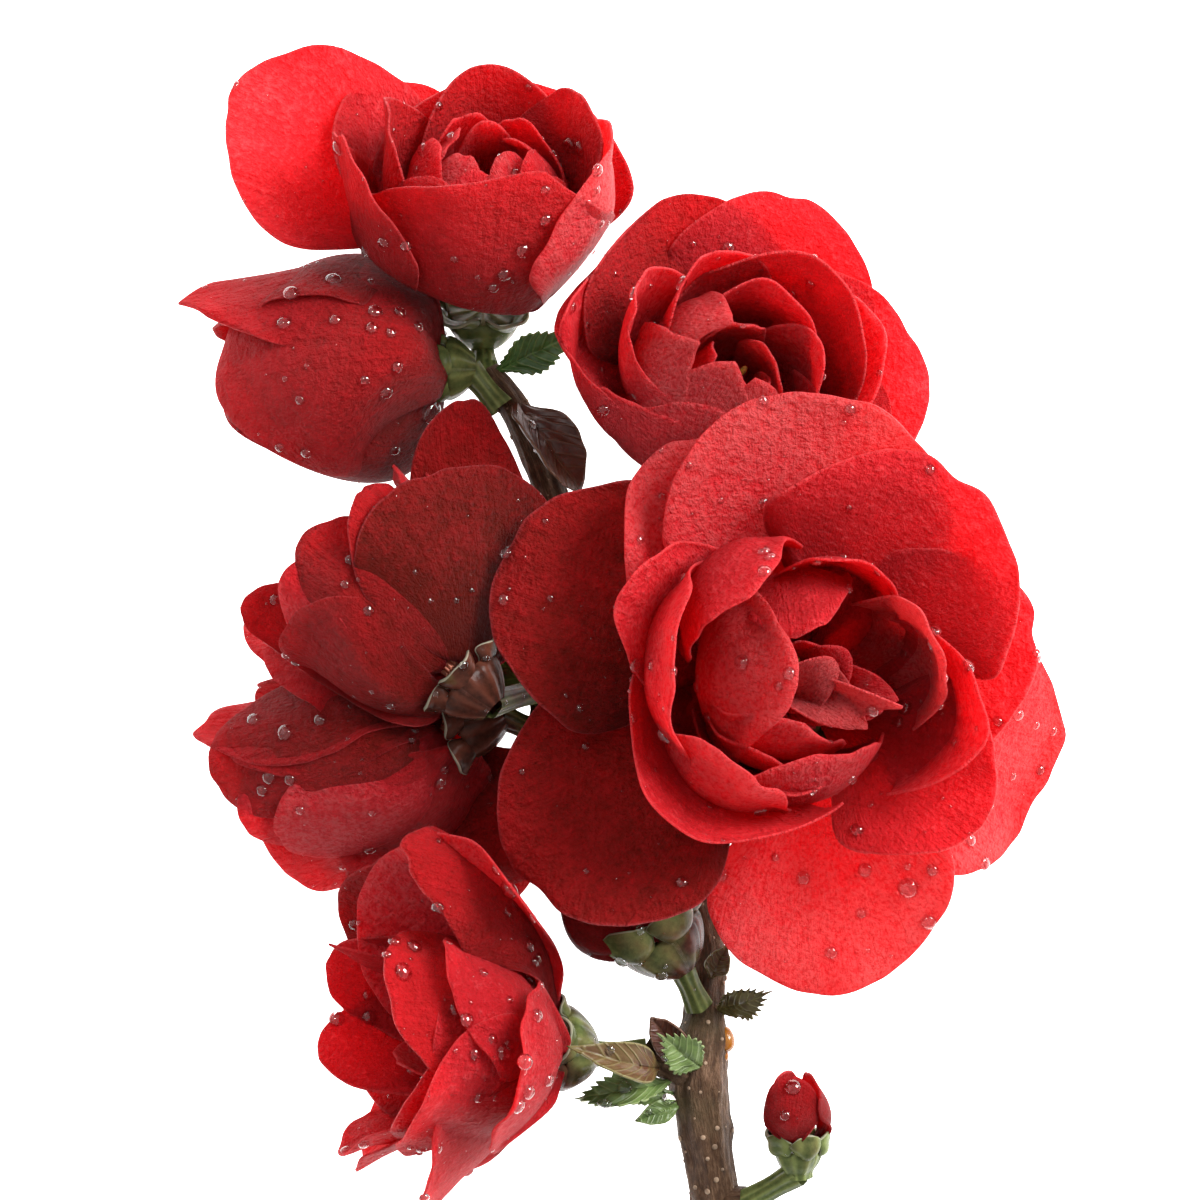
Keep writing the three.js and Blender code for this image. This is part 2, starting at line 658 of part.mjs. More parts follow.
function leafBlade({ at, leaf, teeth = 0 }, bark) {
  const surface = petalSurface(leaf, { radius: 0, height: 0, claw: LEAF_CLAW });
  const place = (x, y, onRim) => {
    const size = onRim ? 1 - teeth : 1;
    return surface(x * size, y * size).add(vector(at));
  };
  return largest(blade(place, LEAF_CELLS).subtract(bark).subtract(ground));
}

// The twig and its spurs as one solid, swollen by the clearance where it cuts what stands on it
const twigSolid = (swell, ridge) => joined([
  limb(TWIG, TWIG_SIDES, 2, swell, ridge),
  ...Object.values(SPURS).map((route) => limb(route, SPUR_SIDES, 2, swell)),
]);

// Hangs a piece in its group. Its solid is given in the branch's own frame.
function hang(group, name, solid, finish) {
  group.updateMatrixWorld(true);
  const geometry = geometryOf(solid);
  geometry.applyMatrix4(group.matrixWorld.clone().invert());
  const material = new THREE.MeshStandardMaterial({ ...finish, metalness: 0 });
  const mesh = new THREE.Mesh(geometry, material);
  mesh.name = name;
  group.add(mesh);
}

const branch = new THREE.Group();
const bark = twigSolid(GAP, 0);
hang(branch, "twig", largest(twigSolid(0, RIDGE).subtract(ground)), FINISH.bark);

for (const [name, bloom] of Object.entries(BLOOMS)) {
  const group = new THREE.Group();
  group.position.copy(vector(bloom.at));
  group.quaternion.setFromRotationMatrix(facing(...bloom.faces));
  branch.add(group);
  hang(group, `${name}_petals`, petals(name, bloom), FINISH.petal);
  hang(group, `${name}_calyx`, calyx(bloom, bark), FINISH.calyx);
  if (bloom.stamens) hang(group, `${name}_stamens`, stamens(bloom), FINISH.stamen);
}

for (const [name, leaf] of Object.entries(LEAVES)) {
  const group = new THREE.Group();
  group.position.copy(vector(leaf.at));
  branch.add(group);
  hang(group, name, leafBlade(leaf, bark), FINISH[leaf.finish]);
}

branch.position.set(-MIDDLE[0], -MIDDLE[1], 0);

export default branch;
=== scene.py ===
# A cut branch of double flowering quince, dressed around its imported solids: thin ruffled petals
# with veins, ribbed calyx cups, tufts of stamens, ridged bark, toothed leaves and water drops.
# Lengths in the tables are millimetres from the middle of the flower cluster.
import json
import math

import bmesh
import bpy
import numpy as np
from bpy.props import FloatProperty, FloatVectorProperty, IntProperty, PointerProperty
from bpy.types import Operator, Panel, PropertyGroup
from mathutils import Matrix, Vector
from mathutils.bvhtree import BVHTree

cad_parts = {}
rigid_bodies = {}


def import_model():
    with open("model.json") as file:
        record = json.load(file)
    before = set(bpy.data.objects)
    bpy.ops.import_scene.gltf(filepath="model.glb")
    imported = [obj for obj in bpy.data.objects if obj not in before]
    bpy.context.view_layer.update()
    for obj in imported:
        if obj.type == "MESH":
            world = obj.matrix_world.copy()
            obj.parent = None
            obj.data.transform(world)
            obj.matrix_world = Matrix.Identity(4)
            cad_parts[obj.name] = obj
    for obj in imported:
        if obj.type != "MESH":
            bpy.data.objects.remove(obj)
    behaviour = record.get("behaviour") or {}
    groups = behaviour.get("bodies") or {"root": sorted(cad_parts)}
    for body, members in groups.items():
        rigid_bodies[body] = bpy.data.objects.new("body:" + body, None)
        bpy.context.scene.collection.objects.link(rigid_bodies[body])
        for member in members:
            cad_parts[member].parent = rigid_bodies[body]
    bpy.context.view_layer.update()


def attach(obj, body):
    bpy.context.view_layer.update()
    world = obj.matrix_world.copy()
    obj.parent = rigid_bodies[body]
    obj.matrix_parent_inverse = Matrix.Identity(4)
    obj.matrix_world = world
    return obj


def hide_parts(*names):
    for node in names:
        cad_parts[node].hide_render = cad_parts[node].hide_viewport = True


bl_info = {
    "name": "Flowering quince branch",
    "version": (1, 0, 0),
    "blender": (4, 5, 0),
    "location": "View3D > Sidebar > Quince",
    "description": "Petals, cups, stamens, bark, leaves and drops of a flowering quince branch",
    "category": "Add Mesh",
}

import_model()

MM = 0.001
MIDDLE = np.array([3.5, -16.7, 0.0])  # middle of the branch's footprint in the tables' frame
SEED = 7
UP = np.array([0.0, 0.0, 1.0])

# ---------------------------------------------------------------- sizes that the tables share
GAP = 0.3  # free space that the solids keep between their pieces
SOLID_BLADE = 0.7  # thickness of a petal in the solids, which the walls between blooms allow for
SURFACE = 0.25  # height over the table that petals keep
PRESS = 1.6  # depth in which a petal gives way to a wall between blooms
SETTLE = 0.8  # depth in which it gives way to the table
CLAW = 0.2  # width of a petal at its foot, as a share of its full width
LEAF_CLAW = 0.3  # the same of a leaf
SHOULDER = 0.62  # where a petal reaches its full width, as a share of its length
BELLY = 0.42  # pull of a midrib towards its two angles, as a share of its chord
RUFFLES = 5  # waves round a rim
RUFFLE = 0.018  # height of these waves, as a share of the width
TIP_WIDTH = 0.45  # half the width of a pointed tip, as a share of half the petal
OWN_DEFAULTS = (None, 0, 0)  # a petal's own tone and painted light, point and its place, where its row has none
FLOOR = 0.4  # a cup's floor lies this far and the gap under its bloom
SEPALS = 5
SEPAL_TURN = 18  # azimuth of the first sepal in its bloom's axes
STALK = 1.3  # radius of a bloom's stalk
TEETH = 26  # teeth round a leaf
GOLDEN_ANGLE = 137.5
RAY_START = 0.0003  # distance from a surface at which a look for open sky starts, in metres
WIDE = 20.0  # a petal of this width or more has its full creases
TONE_SPREAD = 0.25  # how far petals without a tone and painted light of their own differ at random from their bloom's
LEAST_CELLS = 10  # cells across the smallest petal's mesh
SEPAL_CELLS = 16
LEAF_CELLS = 30
CUP_SIDES = 60  # points round a cup
LIMB_SIDES = 28  # points round a stalk or spur
SENSOR = 36.0  # width of the camera's sensor, in millimetres
FLOOR_REACH = 3.0  # half the width of the pale floor, in metres
FLOOR_DROP = 0.0002  # the floor lies this far under the branch, in metres

# A bloom: where its petals meet, the azimuth and elevation that it faces, foot of its stalk,
# cup (radius, depth, reach of the sepals), tuft (stamens, spread, length), tone of its petals with
# painted light and shade in it, how brown its cup is, width of its petals' feet if its own, and its layers.
# A layer: radius and height that its petals start from, pull of their midribs, its petals.
# A petal: azimuth, reach and rise of its tip, angles of its midrib at foot and tip, width,
# cupping, twist, and if its own: tone with painted light and shade (high for a lit petal, low
# for a shaded one), its point as a share of it, and the point's place aside.
BLOOMS = {
    "front": dict(
        at=(17.6, -8.5, 11), faces=(60, 86), foot=(11.5, -15, 4.8), cup=(4.4, 4.6, 6.8),
        tuft=(22, 0.9, 11.5), tone=0.1, flush=0.3,
        layers=[(2.4, 0.2, BELLY, [
            (155, 29.5, 7, 68, 92, 27, 0.5, 6, -0.85), (213, 31, 6.2, 70, 92, 25, 0.5, 6, -0.7),
            (281, 28.5, -1, 74, 112, 24, 0.5, 6, 1.6), (341, 27, -13, 74, 140, 24, 0.4, 4, 1.5),
            (16, 22.5, 10, 65, 75, 22, 0.7, 6, 0.8), (88, 27, 14, 58, 75, 30, 0.7, 6, 1.5),
            (116, 25, 11, 60, 80, 24, 0.7, 6, 1.4),
        ]), (2.1, 1.3, BELLY, [
            (52, 23.5, 15, 62, 60, 30, 0.9, 5, 0.6), (325, 20.5, 11, 66, 70, 20, 0.7, 5, 0.4),
            (258, 9, 14, 80, -5, 22, 1.2, 5, 0.3), (151, 17.5, 18, 80, 18, 18, 1.0, 5, 0.9),
            (222, 16, 16, 80, 12, 34, 1.5, 5, 0.5),
        ]), (1.8, 2.2, 0.6, [
            (172, 11.5, 22.5, 90, -20, 26, 1.2, 6, 1.0, 0.1, -0.6),
            (128, 8.5, 23, 84, -45, 20, 1.3, 8, 0.7), (72, 11.5, 20, 80, -5, 17, 1.3, 8, 0.6),
            (18, 12, 20.5, 80, -5, 18, 1.4, 8, 1.8), (352, 16, 16.5, 80, 8, 24, 1.5, 6, 0.8),
            (228, 9, 19, 96, -45, 19, 1.1, 8, 1.3, 0.24, 0.75),
            (272, 6.5, 16.5, 96, -50, 21, 1.1, 8, 1.2, 0.38, 0.85),
        ]), (1.5, 3, 0.65, [
            (170, 0.5, 20.5, 84, -68, 19, 0.9, 8, 1.5), (95, 3.5, 20.5, 78, -60, 13, 1, 8, 0.4),
        ]), (1.5, 3, BELLY, [
            (30, 5, 15, 20, 55, 7, 0.9, 8, 0.8), (350, 8, 16, 20, 60, 7, 0.9, 8, 0.9, 0.05),
            (30, 3.5, 17, -90, 80, 7, 1.2, 25, 1.9), (325, 5.5, 16.5, -95, 75, 8, 1.2, -20, 2.0, 0.15),
            (345, 6.5, 17.5, -60, 50, 6, 1.2, 35, 1.9, 0.25),
            (244, 3.5, 17.5, 92, -58, 16, 1.0, 8, 1.2, 0.05, 0.2),
            (238, 7, 15.5, 90, -35, 14, 1.0, 8, 1.2), (305, 3.5, 15, -40, 40, 9, 1.0, 10, 1.0, 0.08),
            (250, 2.5, 14, -40, 30, 9, 1.0, -8, 0.8, 0.05),
            (215, 2.5, 14, -20, -10, 9, 1.0, -8, 0.5, 0.05), (70, 3.5, 14.5, 40, 5, 10, 1.0, 8, 0.4),
            (5, 3.5, 13, 40, 10, 9, 0.9, 8, 0.6, 0.05),
        ])]),
    "right": dict(
        at=(9.3, 16.2, 10), faces=(56, 64), foot=(2.8, 8.4, 6.7), cup=(4.2, 4.4, 6.4),
        tuft=(20, 0.8, 9), tone=0.1, flush=0.3,
        layers=[(2.4, 0.2, BELLY, [
            (62, 20, 11.5, 68, 72, 22, 0.6, 6, 0.5), (112, 18.5, 12, 68, 66, 25, 0.7, 6, -0.3),
            (8, 19.5, 9.5, 66, 74, 23, 0.6, 6, 0.7), (330, 17, 8, 68, 75, 22, 0.7, 6, 0.2),
            (290, 16, 9, 68, 70, 22, 0.7, 6, 0.2), (226, 13, 13.5, 80, 10, 22, 1, 6, 0.4),
            (172, 16.5, 15, 78, 15, 24, 1, 6, 0.5), (140, 18.5, 9, 69, 78, 20, 0.7, 6, 0.7),
        ]), (2.0, 1.6, BELLY, [
            (20, 14, 14, 74, 20, 21, 1.1, 8, 0.9), (48, 10.5, 18, 84, -5, 27, 1.4, 8, 0.0),
            (104, 9.5, 18, 82, -5, 17, 1.3, 8, 0.7), (158, 11, 17, 82, -5, 20, 1.3, 8, 1.0),
            (310, 9, 13, 82, -5, 19, 1.3, 8, 0.9), (248, 8.5, 13.5, 86, -25, 17, 1.2, 8, 1.0),
        ]), (1.7, 2.6, 0.55, [
            (62, 6.5, 17, 84, -15, 19, 1.5, 8, 0.8), (10, 6.5, 15.5, 84, -20, 15, 1.5, 8, 1.2),
            (186, 5.5, 16, 92, -45, 15, 1, 8, 1.4, 0.1), (140, 3, 17.5, 88, -60, 12, 1, 8, 1.4, 0.08),
            (236, 3, 15, 88, -55, 12, 1, 8, 1.4, 0.08), (292, 3, 13.5, 86, -50, 11, 1, 8, 1.3, 0.06),
        ]), (1.4, 3.2, BELLY, [
            (90, 2.6, 15.5, 75, -45, 9, 1.2, 8, 1.5), (20, 2.4, 14, 75, -45, 9, 1.2, 8, 1.5),
            (215, 3, 14, 60, -20, 8, 1.2, 12, 0.9, 0.1), (262, 2.5, 13, 60, -20, 8, 1.2, -10, 0.8, 0.1),
            (165, 2.5, 14, 60, -20, 8, 1.2, 6, 0.9, 0.05),
            (325, 3, 12.5, 60, -10, 8, 1.2, 8, 0.6, 0.05),
        ])]),
    "top": dict(
        at=(-10.9, 27.8, 7.2), faces=(88, 32), foot=(-10.8, 21.8, 6.8), cup=(3.8, 4, 5.6),
        tuft=(18, 0.8, 10), tone=0.0, flush=0.25,
        layers=[(2.4, 0.2, BELLY, [
            (160, 24.5, 18, 62, 65, 26, 0.5, -20, 0.7), (128, 17, 16, 72, 35, 24, 0.9, 6, 0.2),
            (75, 13, 16.5, 74, 22, 30, 1, 6, 0.2), (352, 10.5, 18.5, 90, -22, 31, 1.3, 6, 1.4),
            (200, 14.5, 19.5, 80, 10, 17, 0.9, -8, -0.1, 0.05),
            (264, 10.5, 18, 94, -14, 35, 1.4, 0, -0.1, 0.1, 0.35),
        ]), (2.0, 1.6, BELLY, [
            (165, 9.5, 19, 84, -5, 19, 1.3, 8), (85, 10, 19, 84, -5, 20, 1.3, 8),
            (25, 9, 19.5, 84, -10, 20, 1.3, 8), (305, 7.5, 16, 84, -25, 17, 1.3, 8),
            (232, 7.5, 16, 84, -25, 16, 1.3, 8),
        ]), (1.6, 2.6, 0.55, [
            (190, 4, 16.5, 84, -45, 12, 1.2, 8, 0.5), (262, 3.5, 15.5, 84, -50, 12, 1.2, 8, 0.6),
            (335, 4, 16.5, 84, -45, 12, 1.2, 8, 0.5), (45, 4, 17.5, 84, -45, 12, 1.2, 8, 0.4),
            (118, 4, 17.5, 84, -45, 12, 1.2, 8, 0.4), (225, 2, 16, 70, -60, 10, 1, 8, 1.1),
            (310, 2, 16, 70, -60, 10, 1, 8, 1.1), (150, 2.5, 16.5, 70, -60, 9, 1, 8, 1.1),
            (30, 2.5, 16.5, 70, -60, 9, 1, 8, 1.0), (90, 2, 17.5, 60, -40, 8, 1, 8, 1.0),
        ])]),
    "left": dict(
        at=(-12.8, -7, 17.5), faces=(138, -10), foot=(-5.2, -8.2, 10.8), cup=(3.5, 3.8, 4.8),
        tuft=(16, 0.8, 11), tone=-0.15, flush=0.75, claw=0.8,
        layers=[(2.4, 0.2, BELLY, [
            (98, 19.2, 17, 66, 55, 12, 0.5, -70, -0.7), (59, 19.5, 9.5, 88, 40, 25, 0.8, -40, -1.0),
            (320, 8.5, 14, 84, 0, 17, 1.1, 6, -0.5), (290, 9, 19, 72, 35, 11, 0.6, 70, -0.2),
            (250, 13, 13.5, 74, 25, 17, 0.8, 20, 0.5), (190, 14, 15.5, 72, 25, 24, 0.8, 14, 0.8),
            (130, 12, 17, 76, 10, 24, 1, -6, 0.2),
        ]), (2.0, 1.6, BELLY, [
            (62, 8.5, 17.5, 84, -10, 16, 1.2, 8, -0.3), (345, 7, 17, 84, -12, 15, 1.2, 8, 0.5),
            (110, 10, 18.5, 80, 0, 17, 1.2, 8, 0.1), (160, 9.5, 15, 80, 0, 18, 1.2, 8, 0.4),
            (215, 9, 14.5, 80, 0, 17, 1.2, 8, 0.4), (20, 6, 18, 84, -20, 15, 1.2, 8, -0.4),
        ])]),
    "low_left": dict(
        at=(-13.3, -11.6, 10.8), faces=(195, -10), foot=(-5.6, -12.4, 8.8), cup=(3.6, 4.2, 5.2),
        tuft=(16, 0.8, 11), tone=-0.05, flush=0.9, claw=0.75,
        layers=[(2.4, 0.2, BELLY, [
            (256, 16, 9, 72, 75, 20, 0.6, 60, 0.3), (247, 20, 3, 76, 105, 22, 0.5, 72, -0.3),
            (254, 15.5, -4, 90, 118, 20, 0.5, 72, -0.5), (232, 15.5, 14, 70, 50, 18, 0.7, 35, 0.5),
            (288, 7.5, 19.5, 80, 5, 24, 0.9, 30, 0.4), (172, 12.5, 18, 72, 20, 26, 0.9, 6, 0.3),
            (104, 14, 18, 72, 15, 18, 0.9, -30, 0.3),
        ]), (2.0, 1.6, BELLY, [
            (12, 6.5, 22, 86, -8, 17, 1.1, -5, -0.5), (52, 6, 22.5, 80, 0, 15, 1, 6, 0.1, 0.05),
            (68, 11, 15, 84, -5, 16, 1.1, -15, 0.2), (330, 6, 20.5, 84, -12, 16, 1.2, 8, 0.6),
            (180, 8.5, 19.5, 80, -5, 16, 1.2, 8), (310, 8, 18, 84, -10, 16, 1.2, 8, 1.1),
            (120, 8, 19, 80, -5, 15, 1.2, 8), (35, 6.5, 20, 84, -10, 14, 1.2, 8, -0.2),
        ])]),
    "low": dict(
        at=(-4.8, -41.4, 11), faces=(170, 22), foot=(4.2, -42, 9), cup=(4, 4.2, 5),
        tuft=(18, 0.8, 11), tone=0.25, flush=0.6,
        layers=[(2.4, 0.2, BELLY, [
            (70, 17, 18.5, 72, 5, 15, 1.0, -35, -0.2, 0.06), (92, 16, 17.5, 74, 40, 27, 0.9, 38, 1.0),
            (118, 15, 19.5, 74, 30, 20, 0.9, 15, -0.5), (165, 14.5, 15.5, 70, 33, 26, 0.9, 6, 0.3),
            (236, 16, 14, 70, 50, 22, 0.8, 25, 0.4), (278, 17, 11, 68, 60, 22, 0.8, 30, 0.5),
            (318, 12, 16, 78, 20, 22, 1.0, 0, 0.6), (345, 14, 9, 84, 40, 20, 1.0, 0, 0.8),
        ]), (2.0, 1.6, BELLY, [
            (35, 10, 14.5, 84, 0, 20, 1.1, 10, 0.5), (28, 8, 20, 84, -5, 21, 1.1, 5, -0.1),
            (0, 8.5, 15, 86, -5, 17, 1.1, 5, 0.3), (308, 9.5, 16, 84, -5, 19, 1.2, 10, 0.3),
            (262, 12, 18, 76, 15, 20, 1, 15, 0.2), (150, 9, 20, 78, 5, 13, 1.1, 8, 0.2),
            (200, 8, 19.5, 78, 5, 14, 1.1, 8, 0.3),
        ]), (1.6, 2.6, BELLY, [
            (115, 6.5, 20, 60, 15, 3.4, 0.6, 8, None, 0.1), (350, 4, 14, 75, -20, 9, 1.2, 8, 1.0),
            (110, 4, 15, 75, -20, 9, 1.2, 8, 1.0), (230, 4, 14, 75, -20, 9, 1.2, 8, 1.2),
        ])]),
    "round_bud": dict(
        at=(-15.1, 21.4, 9.6), faces=(180, 4), foot=(-9.2, 17.8, 9.7), cup=(3, 2.9, 3.4),
        tuft=None, tone=-0.4, flush=0.2, claw=0.6,
        layers=[(2.0, 0.4, 0.6, [
            (12, 3, 20, 96, -50, 31, 1.6, 6, -0.1), (105, 3, 20, 96, -50, 27, 1.5, 6, -0.4),
            (195, 3, 20, 96, -50, 27, 1.5, 6, -0.4), (280, 3.5, 19.5, 96, -45, 27, 1.5, 6, -0.4),
            (62, 7, 21.5, 96, -12, 20, 1.3, -6, 0.0, 0.12),
        ]), (1.6, 1.4, 0.6, [
            (150, 0.5, 18.5, 92, -66, 24, 1.5, 6, -0.6), (235, 0.5, 18, 92, -66, 24, 1.5, 6, -0.7),
            (330, 0.5, 18.5, 92, -66, 24, 1.5, 6, -0.6),
        ])]),
    "half_open": dict(
        at=(5, -30.3, 10), faces=(125, 10), foot=(9.2, -37.8, 7), cup=(4.2, 4.6, 6),
        tuft=None, tone=-0.6, flush=0.55, claw=0.5,
        layers=[(2.4, 0.4, 0.5, [
            (0, 4.5, 10.5, 84, -30, 14, 1.3, 6), (80, 4.5, 11.5, 84, -30, 14, 1.3, 6),
            (160, 4.5, 11, 84, -30, 14, 1.3, 6), (240, 4.5, 11, 84, -30, 14, 1.3, 6),
            (300, 4.5, 11, 84, -30, 13, 1.3, 6), (268, 8.5, 9, 90, 0, 15, 1.2, 6, -0.6),
            (312, 7.5, 10.5, 90, -8, 15, 1.2, 6, -0.4),
        ])]),
    "small_bud": dict(
        at=(18.3, -50.2, 10), faces=(92, 8), foot=(13.7, -56.1, 7.2), cup=(2.2, 2.8, 2.9),
        tuft=None, tone=0.0, flush=0.3,
        layers=[(1.2, 0.3, 0.5, [
            (30, 1, 6.2, 84, -45, 7.4, 1.4, 6), (150, 1, 6.2, 84, -45, 7.4, 1.4, 6),
            (270, 1, 6.2, 84, -45, 7.4, 1.4, 6),
        ])]),
}

# Planes that neighbouring blooms lean on: blooms, point and normal. The first of the blooms
# stays on the side that the normal points to.
WALLS = [
    (("front", "right"), (15, 13, 18), (0, -0.6, 0.8)),
    (("right", "top"), (0, 32, 17), (0.75, -0.65, 0)),
    (("top", "round_bud"), (-23, 31.2, 14.8), (0.3, 0.8, 0.5)),
    (("round_bud", "left"), (-18.5, 13.4, 13.8), (-0.5, 0.6, -0.6)),
    (("left", "low_left"), (-22, -6.5, 13.5), (0.3, 0.75, 0.6)),
    (("low_left", "low"), (-13, -24.5, 11), (0, 0.75, -0.65)),
    (("half_open",), (0, -24, 14.6), (0, 0, -1)),
    (("front", "left"), (-7, 3, 15.2), (0.5, 0, 0.85)),
    (("half_open", "low"), (-3.8, -31, 12), (0.8, 0.5, 0)),
    (("half_open", "low_left"), (-4.5, -25, 11), (1, 0, 0)),
]

# The twig and its spurs, as x, y, z, radius
TWIG = [
    (12.7, -84.7, 2.1, 2.3), (11.4, -60.8, 5, 2.3), (9.8, -50, 6.5, 2.3), (9.2, -44.6, 6.5, 2.7),
    (9.8, -39, 5.5, 1.9), (9.9, -32.4, 3.2, 1.7), (8.4, -24.1, 3, 1.7), (4.7, -13, 4, 1.6),
    (0, -4.7, 6, 1.5), (-3.7, 7.4, 8, 1.5), (-7.9, 17.8, 8.4, 1.4), (-10.5, 21.2, 7.6, 1.3),
]
SPURS = [
    [(7, -19, 3.6, 1.5), (11.5, -15, 4.6, 1.7)],
    [(-2.2, 2.5, 7, 1.4), (2.8, 8.4, 6.6, 1.7)],
    [(2, -9, 5, 1.4), (-2.4, -10.3, 7.6, 1.6), (-5.4, -10.4, 9.4, 2.3)],
    [(8.8, -44.3, 6.8, 1.8), (4.6, -42, 8.6, 1.7)],
    [(10.4, -56.5, 5.6, 1.8), (13.6, -56.2, 7, 1.5)],
]

# Small leaves, scales and stipules: foot, a petal's eight values and the length of its point,
# depth of the teeth, finish
LEAVES = {
    "top_leaf": ((-9.9, 21.2, 8), (24, 7.4, 2.6, 55, 80, 4.4, 0.5, 12, 0.12), 0.1, "dark"),
    "young_leaf": ((-8, 18.8, 8.2), (306, 10, 2.4, 30, 110, 7, 1.3, -35, 0.1), 0, "brown"),
    "dark_leaf": ((-4.6, -10, 8), (138, 7.8, 0.4, 60, 95, 6.4, 0.5, 0, 0.14), 0.12, "dark"),
    "bud_scale": ((7.8, -42.6, 7.8), (128, 4.6, 3.4, 30, 70, 3.6, 0.9, 0, 0.06), 0, "brown"),
    "toothed_leaf": ((9.4, -43.4, 8.2), (140, 4.6, 4.6, 20, 65, 4.4, 0.5, 0, 0.14), 0.16, "fresh"),
    "lower_leaf": ((7.2, -46, 7.6), (176, 5.6, 1, 70, 90, 2.6, 0.6, 0, 0.14), 0.1, "fresh"),
    "lowest_leaf": ((7.6, -46.8, 7.6), (200, 4, 2, 45, 85, 2.4, 0.6, 0, 0.14), 0, "fresh"),
    "torn_stipule": ((10.4, -38.6, 6.2), (22, 5.4, 3.6, 50, 75, 4, 0.5, 20, 0.1), 0.2, "olive"),
    "olive_leaf": ((10.2, -35.6, 5.6), (65, 3.4, 2.4, 45, 70, 2.6, 0.7, 0, 0.14), 0, "red"),
    "red_leaf": ((5.6, -43.4, 9), (162, 7.2, 8.6, 8, 80, 4, 0.8, 25, 0.16), 0, "red"),
    "curved_stipule": ((6.8, -44.6, 8.3), (189, 8.4, 3.4, 30, 125, 4, 0.8, 30, 0.14), 0.12, "fresh"),
}
# Finishes of leaves and scales: slot, name, colours of young parts, ripe parts and veins
FINISHES = {
    "fresh": ("leaf", "leaf_fresh", (0.14, 0.21, 0.055), (0.05, 0.09, 0.022), (0.34, 0.42, 0.18)),
    "dark": ("leaf", "leaf_dark", (0.09, 0.19, 0.04), (0.03, 0.075, 0.016), (0.34, 0.46, 0.16)),
    "olive": ("leaf", "leaf_olive", (0.11, 0.09, 0.025), (0.045, 0.028, 0.011), (0.26, 0.24, 0.09)),
    "red": ("young_leaf", "leaf_young", (0.13, 0.075, 0.024), (0.08, 0.02, 0.011), (0.28, 0.26, 0.09)),
    "brown": ("young_leaf", "bud_scale_brown", (0.1, 0.026, 0.013), (0.04, 0.011, 0.007),
              (0.17, 0.08, 0.04)),
}

# Profile of a calyx cup: width as a share of its radius, height as a share of its depth
CUP_PROFILE = [(0.6, -0.78), (0.84, -0.5), (0.98, -0.22), (0.95, -0.05), (0.82, 0.0), (0.02, 0.0)]
KNOTS = (23.5, 35.5, 44.5, 52, 60, 72, 84, 95)  # knots of the twig, from its cut end along it
# Beads of resin: centre, half sizes
RESIN = [((11.7, -41, 6.6), (0.85, 1.2, 0.8)), ((11.5, -42.6, 6.4), (0.5, 0.6, 0.5))]

# Large drops: column and row of the view where each is seen, and its width
VIEW_WIDTH = 1200  # columns of the view, and as many rows
LARGE_DROPS = [
    (430, 412, 2.3), (908, 888, 1.9), (857, 830, 1.3), (865, 870, 1.3), (861, 913, 1.0), (1018, 715, 1.2),
    (770, 557, 1.1), (850, 410, 1.1), (803, 878, 1.3), (970, 840, 1.2), (1040, 770, 1.0), (570, 145, 1.6),
    (597, 170, 1.2), (545, 190, 0.9), (291, 294, 1.5), (335, 320, 1.1), (375, 312, 1.4), (372, 328, 1.2),
    (391, 333, 1.0), (397, 367, 1.1), (365, 380, 0.9), (300, 400, 0.9), (403, 972, 1.8), (503, 1053, 1.6),
    (525, 1062, 1.5), (528, 1092, 1.4), (548, 1080, 1.2), (510, 889, 1.9), (508, 911, 1.1), (535, 962, 1.0),
    (530, 978, 1.0), (456, 1010, 1.4), (475, 1054, 1.2), (350, 560, 1.0), (275, 600, 1.1), (320, 720, 1.2),
    (290, 780, 1.1), (300, 810, 0.9), (640, 540, 0.9), (930, 470, 1.0), (640, 930, 1.0), (610, 1050, 0.9),
]


# ---------------------------------------------------------------- small helpers
def metres(points):
    """Points of the tables as metres in the part's frame."""
    return (np.asarray(points, float) - MIDDLE) * MM


def unit(vectors):
    vectors = np.asarray(vectors, float)
    return vectors / np.maximum(np.linalg.norm(vectors, axis=-1, keepdims=True), 1e-9)


def smoothstep(values):
    values = np.clip(values, 0, 1)
    return values * values * (3 - 2 * values)


def axes_of(azimuth, elevation):
    """Rows X, Y, Z of a bloom's own axes: Z along its axis, Y as near to the branch's +Y."""
    a, e = math.radians(azimuth), math.radians(elevation)
    axis = np.array([math.cos(e) * math.cos(a), math.cos(e) * math.sin(a), math.sin(e)])
    up = unit(np.array([0.0, 1.0, 0.0]) - axis[1] * axis)
    return np.array([np.cross(up, axis), up, axis])


def planes_of(name):
    """Planes that one bloom's petals stay on one side of: point, normal, distance, easing."""
    planes = []
    for blooms, through, normal in WALLS:
        if name in blooms:
            way = unit(normal) if blooms[0] == name else -unit(normal)
            planes.append((np.array(through, float), way, (SOLID_BLADE + GAP) / 2, PRESS))
    return [*planes, (np.zeros(3), UP, SURFACE, SETTLE)]


def pressed(points, planes):
    """Points eased back to the free side of each plane."""
    for through, normal, away, ease in planes:
        depth = (points - through) @ normal - away
        settled = ease * np.exp(np.minimum(depth / ease - 1, 0))
        push = np.where(depth < ease, settled - depth, 0)
        points = points + push[..., None] * normal
    return points


